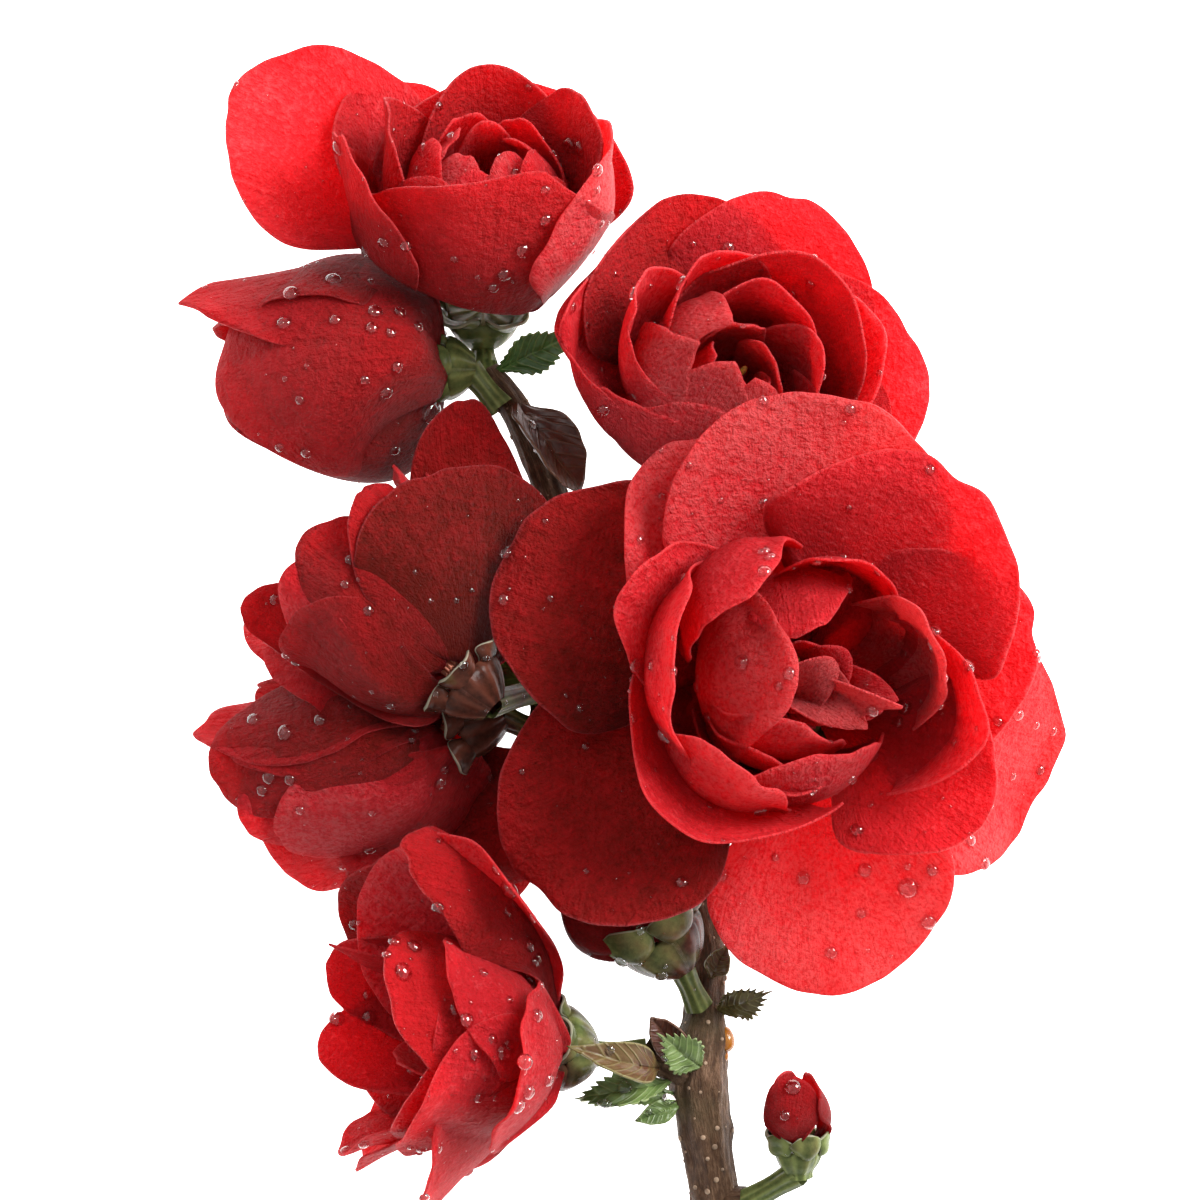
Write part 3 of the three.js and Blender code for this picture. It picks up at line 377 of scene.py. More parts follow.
class Sheets:
    """Gathers closed shells, with their attributes, into one mesh."""

    def __init__(self):
        self.points, self.faces, self.values, self.count = [], [], [], 0

    def add(self, points, faces, **values):
        self.points.append(points)
        self.faces.append(np.asarray(faces) + self.count)
        self.values.append(values)
        self.count += len(points)

    def object(self, name, material):
        """One piece of all shells. A shell without a value has 0 in that attribute."""
        mesh = bpy.data.meshes.new(name)
        points = np.concatenate(self.points)
        mesh.from_pydata(metres(points).tolist(), [], np.concatenate(self.faces).tolist())
        for key in sorted({key for values in self.values for key in values}):
            shells = zip(self.points, self.values)
            whole = [np.broadcast_to(values.get(key, 0), len(shell)) for shell, values in shells]
            whole = np.concatenate(whole).astype(np.float32)
            mesh.attributes.new(key, "FLOAT", "POINT").data.foreach_set("value", whole)
        mesh.polygons.foreach_set("use_smooth", [True] * len(mesh.polygons))
        mesh.materials.append(material)
        mesh.validate()
        piece = bpy.data.objects.new(name, mesh)
        bpy.context.scene.collection.objects.link(piece)
        return piece


def disc_grid(cells):
    """x and y of a square grid bent into the unit disc."""
    u, v = np.meshgrid(np.linspace(-1, 1, cells + 1), np.linspace(-1, 1, cells + 1))
    return u * np.sqrt(1 - v * v / 2), v * np.sqrt(1 - u * u / 2)


def shell_of(place, cells, thickness):
    """A closed thin shell round place(x, y): points, faces, and the disc's x and y."""
    x, y = disc_grid(cells)
    step = 1e-3
    middle = place(x, y)
    across = place(x + step, y) - place(x - step, y)
    along = place(x, y + step) - place(x, y - step)
    normal = unit(np.cross(across, along))
    half = 0.5 * np.broadcast_to(thickness(x, y), x.shape)[..., None]
    side = cells + 1
    index = np.arange(side * side).reshape(side, side)
    a, b, c, d = index[:-1, :-1], index[:-1, 1:], index[1:, 1:], index[1:, :-1]
    upper = np.stack([a, b, c, d], -1).reshape(-1, 4)
    lower = np.stack([a, d, c, b], -1).reshape(-1, 4) + side * side
    rim = np.concatenate([index[0, :-1], index[:-1, -1], index[-1, :0:-1], index[:0:-1, 0]])
    ahead = np.roll(rim, -1)
    band = np.stack([ahead, rim, rim + side * side, ahead + side * side], -1)
    points = [(middle + normal * half).reshape(-1, 3), (middle - normal * half).reshape(-1, 3)]
    faces = np.concatenate([upper, lower, band])
    return np.concatenate(points), faces, np.tile(x.ravel(), 2), np.tile(y.ravel(), 2)


def crumple(x, y, seed, waves, coarse, fine):
    """Seeded sum of sines over the disc, from coarse to fine waves."""
    draw = np.random.default_rng(seed)
    total = 0
    for k in range(waves):
        share = k / max(waves - 1, 1)
        pace = coarse + (fine - coarse) * share
        turn, phase = draw.uniform(0, 2 * math.pi, 2)
        total = total + np.sin(pace * (x * math.cos(turn) + y * math.sin(turn)) + phase) / (1 + 1.6 * k)
    return total


def uneven(x, y, seed, amount, notch):
    """Disc points moved so that the outline isn't a plain oval: waves, and a notch at the tip."""
    draw = np.random.default_rng(seed)
    rho, angle = np.hypot(x, y), np.arctan2(y, x)
    wave = 0
    for lobes, share in ((2, 1.0), (3, 0.9), (5, 0.6), (9, 0.4), (16, 0.25), (27, 0.15)):
        wave = wave + share * draw.uniform(0.4, 1) * np.sin(lobes * angle + draw.uniform(0, 2 * math.pi))
    dip = notch * np.exp(-((angle - math.pi / 2 - draw.uniform(-0.3, 0.3)) / 0.13) ** 2)
    size = 1 + rho ** 4 * (amount * wave - dip)
    return x * size, y * size


def midrib_surface(row, radius, height, belly=BELLY, claw=CLAW, point=0, side=0, *, relief):
    """place(x, y) of a petal's or leaf's middle surface over the unit disc, in its own axes."""
    azimuth, reach, rise, foot_angle, tip_angle, width, cup, twist = row[:8]
    start, tip = np.array([radius, height], float), np.array([reach, rise], float)
    chord = np.linalg.norm(tip - start)
    out_angle, in_angle = math.radians(foot_angle), math.radians(tip_angle)
    first = start + belly * chord * np.array([math.sin(out_angle), math.cos(out_angle)])
    last = tip - belly * chord * np.array([math.sin(in_angle), math.cos(in_angle)])
    half = width / 2
    bend = cup / half
    turn, lean = math.radians(azimuth), math.radians(twist)
    out = np.array([math.cos(turn), math.sin(turn), 0])
    aside = np.array([-math.sin(turn), math.cos(turn), 0])

    def place(x, y):
        peak = point * np.maximum(0, 1 - np.abs(x - side) / TIP_WIDTH) ** 1.5
        flat = (1 + y) / 2
        s = flat + peak * flat ** 5
        q = np.clip(s, 0, 1)[..., None]
        t = x * half * (claw + (1 - claw) * smoothstep(s / SHOULDER))
        rho = np.hypot(x, y)
        wave = np.sin(RUFFLES * np.arctan2(y, x) + 0.37 * azimuth + reach)
        inward = (1 - np.cos(bend * t)) / bend + RUFFLE * width * rho ** 4 * wave + relief(x, y)
        across = np.sin(bend * t) / bend
        rib = (1 - q) ** 3 * start + 3 * (1 - q) ** 2 * q * first + 3 * (1 - q) * q * q * last + q ** 3 * tip
        way = (1 - q) ** 2 * (first - start) + 2 * (1 - q) * q * (last - first) + q * q * (tip - last)
        way = unit(3 * way)
        rib = rib + way * ((s - q[..., 0]) * chord)[..., None]
        lateral = across * math.cos(lean) - inward * math.sin(lean)
        raised = across * math.sin(lean) + inward * math.cos(lean)
        radial = rib[..., 0] - raised * way[..., 1]
        axial = rib[..., 1] + raised * way[..., 0]
        return radial[..., None] * out + lateral[..., None] * aside + axial[..., None] * UP

    return place


# ---------------------------------------------------------------- node helpers
class Wires:
    """Adds nodes to a tree and joins them. Most calls give back the new node's first output."""

    def __init__(self, tree):
        self.tree = tree

    def feed(self, socket, value):
        if isinstance(value, bpy.types.NodeSocket):
            self.tree.links.new(value, socket)
        elif socket.type == "RGBA":
            socket.default_value = (*value[:3], 1)
        else:
            socket.default_value = value

    def node(self, kind, inputs=(), **settings):
        """A new node, with its properties and with its inputs by name or number."""
        made = self.tree.nodes.new(kind)
        for key, value in settings.items():
            setattr(made, key, value)
        for key, value in dict(inputs).items():
            self.feed(made.inputs[key], value)
        return made

    def out(self, kind, inputs=(), **settings):
        return self.node(kind, inputs, **settings).outputs[0]

    def maths(self, operation, a, b=0.0, c=0.0):
        return self.out("ShaderNodeMath", {0: a, 1: b, 2: c}, operation=operation)

    def times(self, a, b):
        return self.maths("MULTIPLY", a, b)

    def times_plus(self, a, b, c):
        return self.maths("MULTIPLY_ADD", a, b, c)

    def xyz(self, x, y, z):
        return self.out("ShaderNodeCombineXYZ", {0: x, 1: y, 2: z})


class Surface(Wires):
    """A material in the making."""

    def __init__(self, name):
        self.material = bpy.data.materials.new(name)
        self.material.use_nodes = True
        super().__init__(self.material.node_tree)
        self.shader = self.tree.nodes["Principled BSDF"]

    def place(self):
        return self.node("ShaderNodeTexCoord").outputs["Object"]

    def attributes(self, *names):
        return [self.node("ShaderNodeAttribute", attribute_name=name).outputs["Fac"] for name in names]

    def noise(self, vector, scale, detail, roughness):
        inputs = {"Vector": vector, "Scale": scale, "Detail": detail, "Roughness": roughness}
        return self.out("ShaderNodeTexNoise", inputs)

    def ramp(self, factor, *stops):
        """Colours at the given positions of the factor, blended in between."""
        made = self.node("ShaderNodeValToRGB", {0: factor})
        elements = made.color_ramp.elements
        while len(elements) < len(stops):
            elements.new(0.5)
        for element, (position, colour) in zip(elements, stops):
            element.position = position
            element.color = (*colour, 1)
        return made.outputs[0]

    def fade(self, factor, low, high, last=1.0, first=0.0):
        """A share that goes from first to last while the factor goes from low to high."""
        return self.ramp(factor, (low, (first,) * 3), (high, (last,) * 3))

    def blend(self, factor, a, b):
        return self.node("ShaderNodeMix", {0: factor, 6: a, 7: b}, data_type="RGBA").outputs[2]

    def dress(self, **values):
        """Sets the shader's inputs by name, with _ for each space."""
        for key, value in values.items():
            self.feed(self.shader.inputs[key.replace("_", " ")], value)
        return self.material

    def finish(self, colour, height, strength, distance, through=None, share=0.0, **values):
        """Colour and relief, and a share of the light that goes through in its own colour."""
        bump = self.out("ShaderNodeBump", {"Height": height, "Strength": strength, "Distance": distance})
        if through is not None:
            lit = self.out("ShaderNodeBsdfTranslucent", {"Color": through, "Normal": bump})
            mix = self.out("ShaderNodeMixShader", {0: share, 1: self.shader.outputs[0], 2: lit})
            self.tree.links.new(mix, self.tree.nodes["Material Output"].inputs[0])
        return self.dress(Base_Color=colour, Normal=bump, **values)


# ---------------------------------------------------------------- materials
def petal_material(settings):
    """Velvety petal: painted shade at the foot, brighter towards the rim, painted light and shade
    from its tone, painted glints on the crinkles, a pale rim partly painted as a highlight, fan veins,
    thin and translucent.
    """
    made = Surface("petal_velvet")
    along, across, rim, tone = made.attributes("along", "across", "rim", "tone")
    place = made.place()
    fan = made.maths("DIVIDE", across, made.maths("ADD", along, 0.3))
    veins_at = made.xyz(fan, made.times(along, 0.12), tone)
    crinkle_at = made.xyz(made.times(fan, 7.0), made.times(along, 15.0), tone)
    veins = made.noise(veins_at, 16.0, 4.0, 0.6)
    fine_veins = made.noise(veins_at, 55.0, 2.0, 0.5)
    crinkle = made.noise(crinkle_at, 3.0, 4.0, 0.6)
    cloud = made.noise(place, 130.0, 3.0, 0.55)
    mottle = made.noise(place, 420.0, 3.0, 0.6)
    velvet = made.noise(place, 1100.0, 4.0, 0.65)
    pores = made.noise(place, 3200.0, 3.0, 0.6)
    # Painted light and shade: each petal's tone value lifts a lit petal's colour towards coral and lowers a
    # shaded one's towards deep, besides tone that differs from petal to petal.
    shade = made.times_plus(tone, 0.42, 0.45)
    # The share of along darkens each petal towards its foot and lightens it towards the tip: painted shade
    # where the petals overlap at their feet.
    details = ((along, 0.34), (veins, 0.22), (fine_veins, 0.1), (cloud, 0.3), (mottle, 0.35),
               (velvet, 0.35), (pores, 0.35), (crinkle, 0.25))
    for detail, share in details:
        shade = made.times_plus(made.maths("SUBTRACT", detail, 0.5), share, shade)
    at = made.times(shade, 0.75)
    colour = made.ramp(at, (0.0, settings.deep), (0.37, settings.body), (0.75, settings.bright),
                       (1.0, settings.coral))
    # Painted glints: pale pink highlights painted on the crinkles of the brighter petals, in the colour and
    # in the light through.
    painted_glint = made.times_plus(crinkle, 0.5, made.times(velvet, 0.5))
    painted_glint = made.times(painted_glint, made.maths("MINIMUM", shade, 1.0))
    painted_glint = made.fade(painted_glint, 0.43, 0.6, 0.6)
    colour = made.blend(painted_glint, colour, settings.rim)
    fleck = made.times_plus(crinkle, 0.4, made.times(pores, 0.6))
    fleck = made.fade(fleck, 0.4, 0.52, 0.0, 0.75)
    fleck = made.times(fleck, made.maths("SUBTRACT", made.maths("MINIMUM", shade, 1.2), 0.4))
    colour = made.blend(fleck, colour, settings.body)
    # Pale thin rim: partly the petal's own paler edge, partly a painted highlight on the rolled rims.
    colour = made.blend(made.times(made.fade(rim, 0.985, 1.0), 0.5), colour, settings.rim)
    through = made.ramp(at, (0.0, settings.glow_deep), (0.75, settings.glow), (1.0, settings.coral))
    through = made.blend(painted_glint, through, settings.rim)
    through = made.blend(made.times(fleck, 0.7), through, settings.body)
    relief = made.times(veins, 0.5)
    for detail, share in ((fine_veins, 0.2), (mottle, 0.5), (velvet, 0.7), (pores, 0.35), (crinkle, 0.8)):
        relief = made.times_plus(detail, share, relief)
    return made.finish(colour, relief, 1.0, 0.0009, through, settings.thinness, Roughness=0.38,
                       Specular_IOR_Level=0.2, Sheen_Weight=0.08, Sheen_Roughness=0.35,
                       Sheen_Tint=(1.0, 0.45, 0.5))


def green_material(name, young, ripe, vein):
    """Leaf green with a lighter midrib, slanting side veins and a pale thin edge."""
    made = Surface(name)
    place = made.place()
    along, across, rim = made.attributes("along", "across", "rim")
    cloud = made.noise(place, 260.0, 4.0, 0.6)
    speck = made.noise(place, 1400.0, 3.0, 0.6)
    shade = made.times_plus(made.maths("SUBTRACT", speck, 0.5), 0.5, cloud)
    colour = made.ramp(shade, (0.25, ripe), (0.65, young))
    off = made.maths("ABSOLUTE", across)
    middle = made.maths("SUBTRACT", 1.0, made.maths("MINIMUM", made.times(off, 9.0), 1.0))
    slant = made.times(made.times_plus(off, -0.35, along), 26.0)
    side = made.maths("ABSOLUTE", made.maths("SINE", slant))
    side = made.times(made.maths("POWER", side, 14.0), 0.5)
    ridge = made.maths("MAXIMUM", middle, side)
    pale = made.maths("MAXIMUM", made.times(ridge, 0.6), made.fade(rim, 0.93, 1.0, 0.6))
    colour = made.blend(pale, colour, vein)
    height = made.times_plus(speck, 0.5, ridge)
    return made.finish(colour, height, 0.5, 0.0003, colour, 0.25, Roughness=0.4)


def calyx_material(settings):
    """Wet fleshy green, flushed purple brown, with darker ribs and a pale thin rim painted as a highlight.
    """
    made = Surface("calyx_flesh")
    place = made.place()
    across, rim, flush = made.attributes("across", "rim", "flush")
    patch = made.noise(place, 170.0, 3.0, 0.55)
    speck = made.noise(place, 1500.0, 4.0, 0.65)
    stripe = made.maths("ABSOLUTE", made.maths("SINE", made.times(across, 31.4)))
    rib = made.maths("POWER", stripe, 3.0)
    shade = made.times_plus(rib, 0.35, made.times(speck, 0.7))
    green = made.ramp(shade, (0.2, settings.green_deep), (0.75, settings.green))
    brown = made.ramp(shade, (0.2, settings.flush_deep), (0.75, settings.flush))
    turn = made.maths("ADD", made.times_plus(patch, 1.6, -0.8), flush)
    colour = made.blend(made.fade(turn, 0.3, 0.7), green, brown)
    # The sepals' pale thin rim is a painted highlight.
    colour = made.blend(made.fade(rim, 0.97, 1.0, 0.5), colour, settings.rim)
    height = made.times_plus(rib, 0.6, made.times(speck, 0.5))
    return made.finish(colour, height, 0.45, 0.0003, colour, 0.15, Roughness=0.25,
                       Specular_IOR_Level=0.12)


def bark_material(settings):
    """Ridged brown bark with scurf, green shade in patches, cracks along it and cut wood."""
    made = Surface("quince_bark")
    place = made.place()
    along, across, cut = made.attributes("along", "across", "cut")
    turn = made.times(across, 2 * math.pi)
    strip = made.xyz(made.maths("COSINE", turn), made.maths("SINE", turn), made.times(along, 0.09))
    ridges = made.noise(strip, 4.5, 6.0, 0.7)
    cracks = made.noise(strip, 13.0, 4.0, 0.7)
    scurf = made.noise(place, 900.0, 5.0, 0.65)
    patch = made.noise(place, 120.0, 3.0, 0.55)
    shade = made.times_plus(ridges, 0.5, made.times(scurf, 0.25))
    shade = made.times_plus(cracks, 0.35, shade)
    colour = made.ramp(shade, (0.38, settings.crack), (0.54, settings.bark), (0.72, settings.scurf))
    colour = made.blend(made.fade(patch, 0.54, 0.75, 0.7), colour, settings.moss)
    growth = made.times_plus(made.maths("SINE", made.times(cut, 70.0)), 0.05, cut)
    wood = made.ramp(growth, (0.08, settings.moss), (0.2, settings.wood), (0.85, settings.wood),
                     (0.97, settings.bark))
    colour = made.blend(made.fade(cut, 0.04, 0.1), colour, wood)
    return made.finish(colour, shade, 1.0, 0.001, Roughness=0.6, Specular_IOR_Level=0.2)


def speckled_material(name, dark, light, scale=900.0, **values):
    """Two colours mixed by fine noise, with a little relief."""
    made = Surface(name)
    speck = made.noise(made.place(), scale, 4.0, 0.6)
    return made.finish(made.ramp(speck, (0.3, dark), (0.7, light)), speck, 0.4, 0.0002, **values)


def stamen_material(settings):
    """Pale filament that turns into a golden, grainy anther at its tip."""
    made = Surface("stamen_gold")
    grain = made.noise(made.place(), 4000.0, 3.0, 0.6)
    gold = made.ramp(grain, (0.3, settings.anther_deep), (0.7, settings.anther))
    colour = made.blend(made.attributes("tip")[0], settings.filament, gold)
    return made.finish(colour, grain, 0.5, 0.0001, Roughness=0.6, Subsurface_Weight=0.1,
                       Subsurface_Scale=0.0005)


def water_material():
    """Clear drop with a painted dark edge and a strong mirrored light."""
    made = Surface("water")
    # The colour darkens towards the drop's edge, where it is seen at a slant: a painted dark rim in place of
    # the shade that refraction gives there.
    facing = made.node("ShaderNodeLayerWeight", {"Blend": 0.35}).outputs["Facing"]
    colour = made.ramp(facing, (0.2, (1, 1, 1)), (0.75, (0.5, 0.24, 0.24)))
    return made.dress(Base_Color=colour, Roughness=0.0, IOR=1.33, Transmission_Weight=1.0,
                      Coat_Weight=0.8, Coat_Roughness=0.0, Coat_IOR=1.48)


# ---------------------------------------------------------------- geometry trees
def fresh_tree(name, sockets):
    """A geometry tree with named inputs, given as name: (socket type, default)."""
    tree = bpy.data.node_groups.new(name, "GeometryNodeTree")
    tree.interface.new_socket("Geometry", in_out="INPUT", socket_type="NodeSocketGeometry")
    for label, (kind, default) in sockets.items():
        socket = tree.interface.new_socket(label, in_out="INPUT", socket_type=f"NodeSocket{kind}")
        if default is not None:
            socket.default_value = default
    tree.interface.new_socket("Geometry", in_out="OUTPUT", socket_type="NodeSocketGeometry")
    made = Wires(tree)
    return made, made.node("NodeGroupInput").outputs


def finished(made, instances, material):
    """Ends a tree: its instances become plain mesh with one material."""
    whole = made.out("GeometryNodeRealizeInstances", {0: instances})
    smooth = made.out("GeometryNodeSetShadeSmooth", {"Geometry": whole})
    last = made.out("GeometryNodeSetMaterial", {"Geometry": smooth, "Material": material})
    made.node("NodeGroupOutput", {"Geometry": last})
    return made.tree


def stored(made, geometry, name, value, kind):
    inputs = {"Geometry": geometry, "Name": name, "Value": value}
    return made.out("GeometryNodeStoreNamedAttribute", inputs, data_type=kind, domain="POINT")


def named(made, name, kind):
    return made.out("GeometryNodeInputNamedAttribute", {"Name": name}, data_type=kind)


def scatter_tree():
    """Beads on a surface: evenly spread points, kept under the open sky, with seeded sizes."""
    made, given = fresh_tree("scatter_beads", {
        "Spacing": ("Float", 0.001), "Density": ("Float", 1e5), "Least": ("Float", 0.0001),
        "Most": ("Float", 0.0006), "Rarity": ("Float", 3.0), "Flatness": ("Float", 0.6),
        "Lowest tilt": ("Float", -2.0), "Sky": ("Float", 0.1), "Seed": ("Int", SEED),
        "Material": ("Material", None)})
    spread = made.node("GeometryNodeDistributePointsOnFaces", {
        "Mesh": given["Geometry"], "Distance Min": given["Spacing"], "Density Max": given["Density"],
        "Seed": given["Seed"]}, distribute_method="POISSON")
    points = stored(made, spread.outputs["Points"], "lift", spread.outputs["Normal"], "FLOAT_VECTOR")
    lift = named(made, "lift", "FLOAT_VECTOR")
    place = made.out("GeometryNodeInputPosition")
    start = made.out("ShaderNodeVectorMath", {0: lift, 1: (RAY_START,) * 3, 2: place},
                     operation="MULTIPLY_ADD")
    hit = made.node("GeometryNodeRaycast", {
        "Target Geometry": given["Geometry"], "Source Position": start,
        "Ray Direction": (0.0, 0.0, 1.0), "Ray Length": given["Sky"]}).outputs["Is Hit"]
    height = made.node("ShaderNodeSeparateXYZ", {0: lift}).outputs[2]
    under = made.out("FunctionNodeCompare", {0: height, 1: given["Lowest tilt"]}, operation="LESS_THAN")
    dry = made.out("FunctionNodeBooleanMath", {0: hit, 1: under}, operation="OR")
    points = made.out("GeometryNodeDeleteGeometry", {"Geometry": points, "Selection": dry})
    chance = made.node("FunctionNodeRandomValue", {"Seed": given["Seed"]}, data_type="FLOAT").outputs[1]
    rare = made.maths("POWER", chance, given["Rarity"])
    span = made.maths("SUBTRACT", given["Most"], given["Least"])
    return beaded(made, points, lift, made.times_plus(rare, span, given["Least"]), given, 2)


def bead_tree():
    """Beads on the given points, which carry their size and the direction that they stand in."""
    made, given = fresh_tree("placed_beads", {
        "Flatness": ("Float", 0.6), "Material": ("Material", None)})
    points = made.out("GeometryNodeMeshToPoints", {"Mesh": given["Geometry"]})
    return beaded(made, points, named(made, "lift", "FLOAT_VECTOR"), named(made, "size", "FLOAT"), given, 4)


def beaded(made, points, lift, size, given, detail):
    """Ends a tree with a domed bead on each point, a little sunk into what carries it."""
    ball = made.out("GeometryNodeMeshIcoSphere", {"Radius": 1.0, "Subdivisions": detail})
    dome = made.out("GeometryNodeTransform", {
        "Geometry": ball, "Translation": (0.0, 0.0, 0.1),
        "Scale": made.xyz(1.0, 1.0, given["Flatness"])})
    turn = made.out("FunctionNodeAlignRotationToVector", {"Vector": lift}, axis="Z")
    beads = made.out("GeometryNodeInstanceOnPoints", {
        "Points": points, "Instance": dome, "Rotation": turn, "Scale": size})
    return finished(made, beads, given["Material"])


def tuft_tree():
    """Stamens round an axis by the golden angle, leaning outwards, each with its anther."""
    made, given = fresh_tree("stamen_tuft", {
        "Count": ("Int", 20), "Spread": ("Float", 0.002), "Length": ("Float", 0.01),
        "Lean": ("Float", 0.2), "Thickness": ("Float", 0.00012), "Seed": ("Int", SEED),
        "Material": ("Material", None)})
    spread, length, thickness = given["Spread"], given["Length"], given["Thickness"]
    index = made.out("GeometryNodeInputIndex")
    share = made.maths("SQRT", made.maths("DIVIDE", made.maths("ADD", index, 0.5), given["Count"]))
    turn = made.times(index, math.radians(GOLDEN_ANGLE))
    out = made.times(share, spread)
    aside = (made.times(out, made.maths(part, turn)) for part in ("COSINE", "SINE"))
    foot = made.xyz(*aside, 0.0)
    points = made.out("GeometryNodePoints", {"Count": given["Count"], "Position": foot})
    end = made.xyz(made.times(spread, 0.4), 0.0, length)
    middle = made.xyz(made.times(spread, -0.3), 0.0, made.times(length, 0.6))
    line = made.out("GeometryNodeCurveQuadraticBezier", {
        "Resolution": 8, "Start": (0.0, 0.0, 0.0), "Middle": middle, "End": end})
    ring = made.out("GeometryNodeCurvePrimitiveCircle", {"Resolution": 6, "Radius": thickness})
    thread = made.out("GeometryNodeCurveToMesh", {
        "Curve": line, "Profile Curve": ring, "Fill Caps": True})
    grain = made.out("GeometryNodeMeshIcoSphere", {"Radius": made.times(thickness, 3.2), "Subdivisions": 3})
    anther = made.out("GeometryNodeTransform", {
        "Geometry": grain, "Translation": end, "Scale": (1.0, 0.75, 1.7)})
    stamen = made.node("GeometryNodeJoinGeometry")
    for part, tip in ((thread, 0.0), (anther, 1.0)):
        made.feed(stamen.inputs[0], stored(made, part, "tip", tip, "FLOAT"))
    tilt = made.xyz(0.0, made.times(share, given["Lean"]), turn)
    tall = made.node("FunctionNodeRandomValue", {2: 0.86, 3: 1.0, "Seed": given["Seed"]},
                     data_type="FLOAT").outputs[1]
    tuft = made.out("GeometryNodeInstanceOnPoints", {
        "Points": points, "Instance": stamen.outputs[0], "Rotation": tilt, "Scale": tall})
    return finished(made, tuft, given["Material"])


def grown(name, tree, mesh, **values):
    """The plain mesh object that a tree grows on a mesh, with its named inputs set."""
    carrier = bpy.data.objects.new(f"{name}_carrier", mesh)
    modifier = carrier.modifiers.new("grow", "NODES")
    modifier.node_group = tree
    for item in tree.interface.items_tree:
        key = item.name.replace(" ", "_")
        if item.in_out == "INPUT" and key in values:
            modifier[item.identifier] = values[key]
    bpy.context.scene.collection.objects.link(carrier)
    evaluated = carrier.evaluated_get(bpy.context.evaluated_depsgraph_get())
    made = bpy.data.meshes.new_from_object(evaluated)
    bpy.data.objects.remove(carrier)
    if not made.polygons:
        raise RuntimeError(f"{name}: the tree grew nothing")
    piece = bpy.data.objects.new(name, made)
    bpy.context.scene.collection.objects.link(piece)
    return piece


# ---------------------------------------------------------------- settings
def colour_property(name, description, default):
    return FloatVectorProperty(
        name=name, description=description, default=default, size=3, min=0, max=1, subtype="COLOR")


def spot_property(name, description, default):
    """A place given from the middle of the flowers."""
    return FloatVectorProperty(
        name=name, description=description, default=default, subtype="TRANSLATION", unit="LENGTH")


def length_property(name, description, default):
    return FloatProperty(name=name, description=description, default=default, unit="LENGTH")


def share_property(name, description, default):
    return FloatProperty(name=name, description=description, default=default, subtype="FACTOR")


def power_property(name, description, default):
    return FloatProperty(name=name, description=description, default=default, unit="POWER")


class PetalSettings(PropertyGroup):
    """Sizes and colours of the petals."""

    cells: IntProperty(name="Cells", description="Cells across a petal's mesh", default=32, min=4)
    rim_thickness: length_property("Rim thickness", "Thickness of a petal at its rim", 0.00022)
    body_thickness: length_property("Body thickness", "Thickness of a petal at its middle", 0.0005)
    crease: length_property("Creases", "Height of the creases near the rim", 0.0003)
    roll: length_property("Rolled rim", "How far the rim rolls back at most", 0.0012)
    uneven: share_property("Uneven outline", "Waves of the outline as a share of the petal", 0.018)
    thinness: share_property("Thinness", "Share of light that a petal lets through", 0.62)
    # Deep, colour, bright and coral are lit and shaded copies of one red, picked by a petal's tone with its
    # painted light; deep also paints the shade at the foot and is the veins' colour. Deep glow and glow
    # below pick the light through in the same way.
    deep: colour_property("Deep colour", "Colour at the foot and in the veins", (0.21, 0.012, 0.005))
    body: colour_property("Colour", "Colour of the petal's body", (0.66, 0.018, 0.022))
    bright: colour_property("Bright colour", "Colour where the petal is brightest", (0.9, 0.034, 0.052))
    coral: colour_property("Coral", "Colour of the palest petals", (0.84, 0.14, 0.14))
    # The rim colour also paints the glints on the crinkles and the highlight on the rim.
    rim: colour_property("Rim colour", "Colour of the thin rim", (0.92, 0.12, 0.13))
    glow: colour_property("Glow", "Colour of light through a bright petal", (0.98, 0.048, 0.062))
    glow_deep: colour_property("Deep glow", "Colour of light through a deep petal", (0.24, 0.006, 0.006))


class CupSettings(PropertyGroup):
    """Colours of the calyx cups."""

    green: colour_property("Green", "Colour of the green parts", (0.17, 0.2, 0.065))
    green_deep: colour_property("Deep green", "Colour between the ribs", (0.05, 0.07, 0.022))
    flush: colour_property("Flush", "Colour of the purple brown parts", (0.1, 0.03, 0.018))
    flush_deep: colour_property("Deep flush", "Colour between the ribs there", (0.022, 0.008, 0.005))
    # The rim colour is a painted highlight along the sepals' edges.
    rim: colour_property("Rim", "Colour of the thin rims of the sepals", (0.5, 0.48, 0.36))


class BarkSettings(PropertyGroup):
    """Sizes and colours of the twig."""

    sides: IntProperty(name="Sides", description="Points round the twig", default=48, min=8)
    ridge: length_property("Ridges", "Height of the bark's ridges", 0.00016)
    bark: colour_property("Bark", "Colour of the bark", (0.085, 0.043, 0.022))
    crack: colour_property("Cracks", "Colour in the cracks", (0.025, 0.013, 0.009))
    wood: colour_property("Cut wood", "Colour of the wood at the cut end", (0.48, 0.34, 0.17))
    scurf: colour_property("Scurf", "Colour of the raised scurf", (0.23, 0.135, 0.08))
    moss: colour_property("Green shade", "Colour of the greenish patches", (0.055, 0.045, 0.018))


class StamenSettings(PropertyGroup):
    """Sizes and colours of the stamens."""

    thickness: length_property("Thickness", "Radius of a filament", 0.00013)
    lean: FloatProperty(
        name="Lean", description="Lean of the outermost stamens", default=math.radians(7), unit="ROTATION")
    filament: colour_property("Filament", "Colour of the filaments", (0.62, 0.2, 0.12))
    anther: colour_property("Anther", "Colour of the anthers", (0.72, 0.52, 0.1))
    anther_deep: colour_property("Deep anther", "Colour between the anthers' grains", (0.3, 0.24, 0.05))


class DropSettings(PropertyGroup):
    """Sizes of the fine drops."""

    spacing: length_property("Spacing", "Least distance between two drops", 0.001)
    density: FloatProperty(name="Density", description="Drops on a square metre at most", default=80000.0)
    least: length_property("Least radius", "Radius of the finest drops", 0.0001)
    most: length_property("Most radius", "Radius of the coarsest drops", 0.0008)


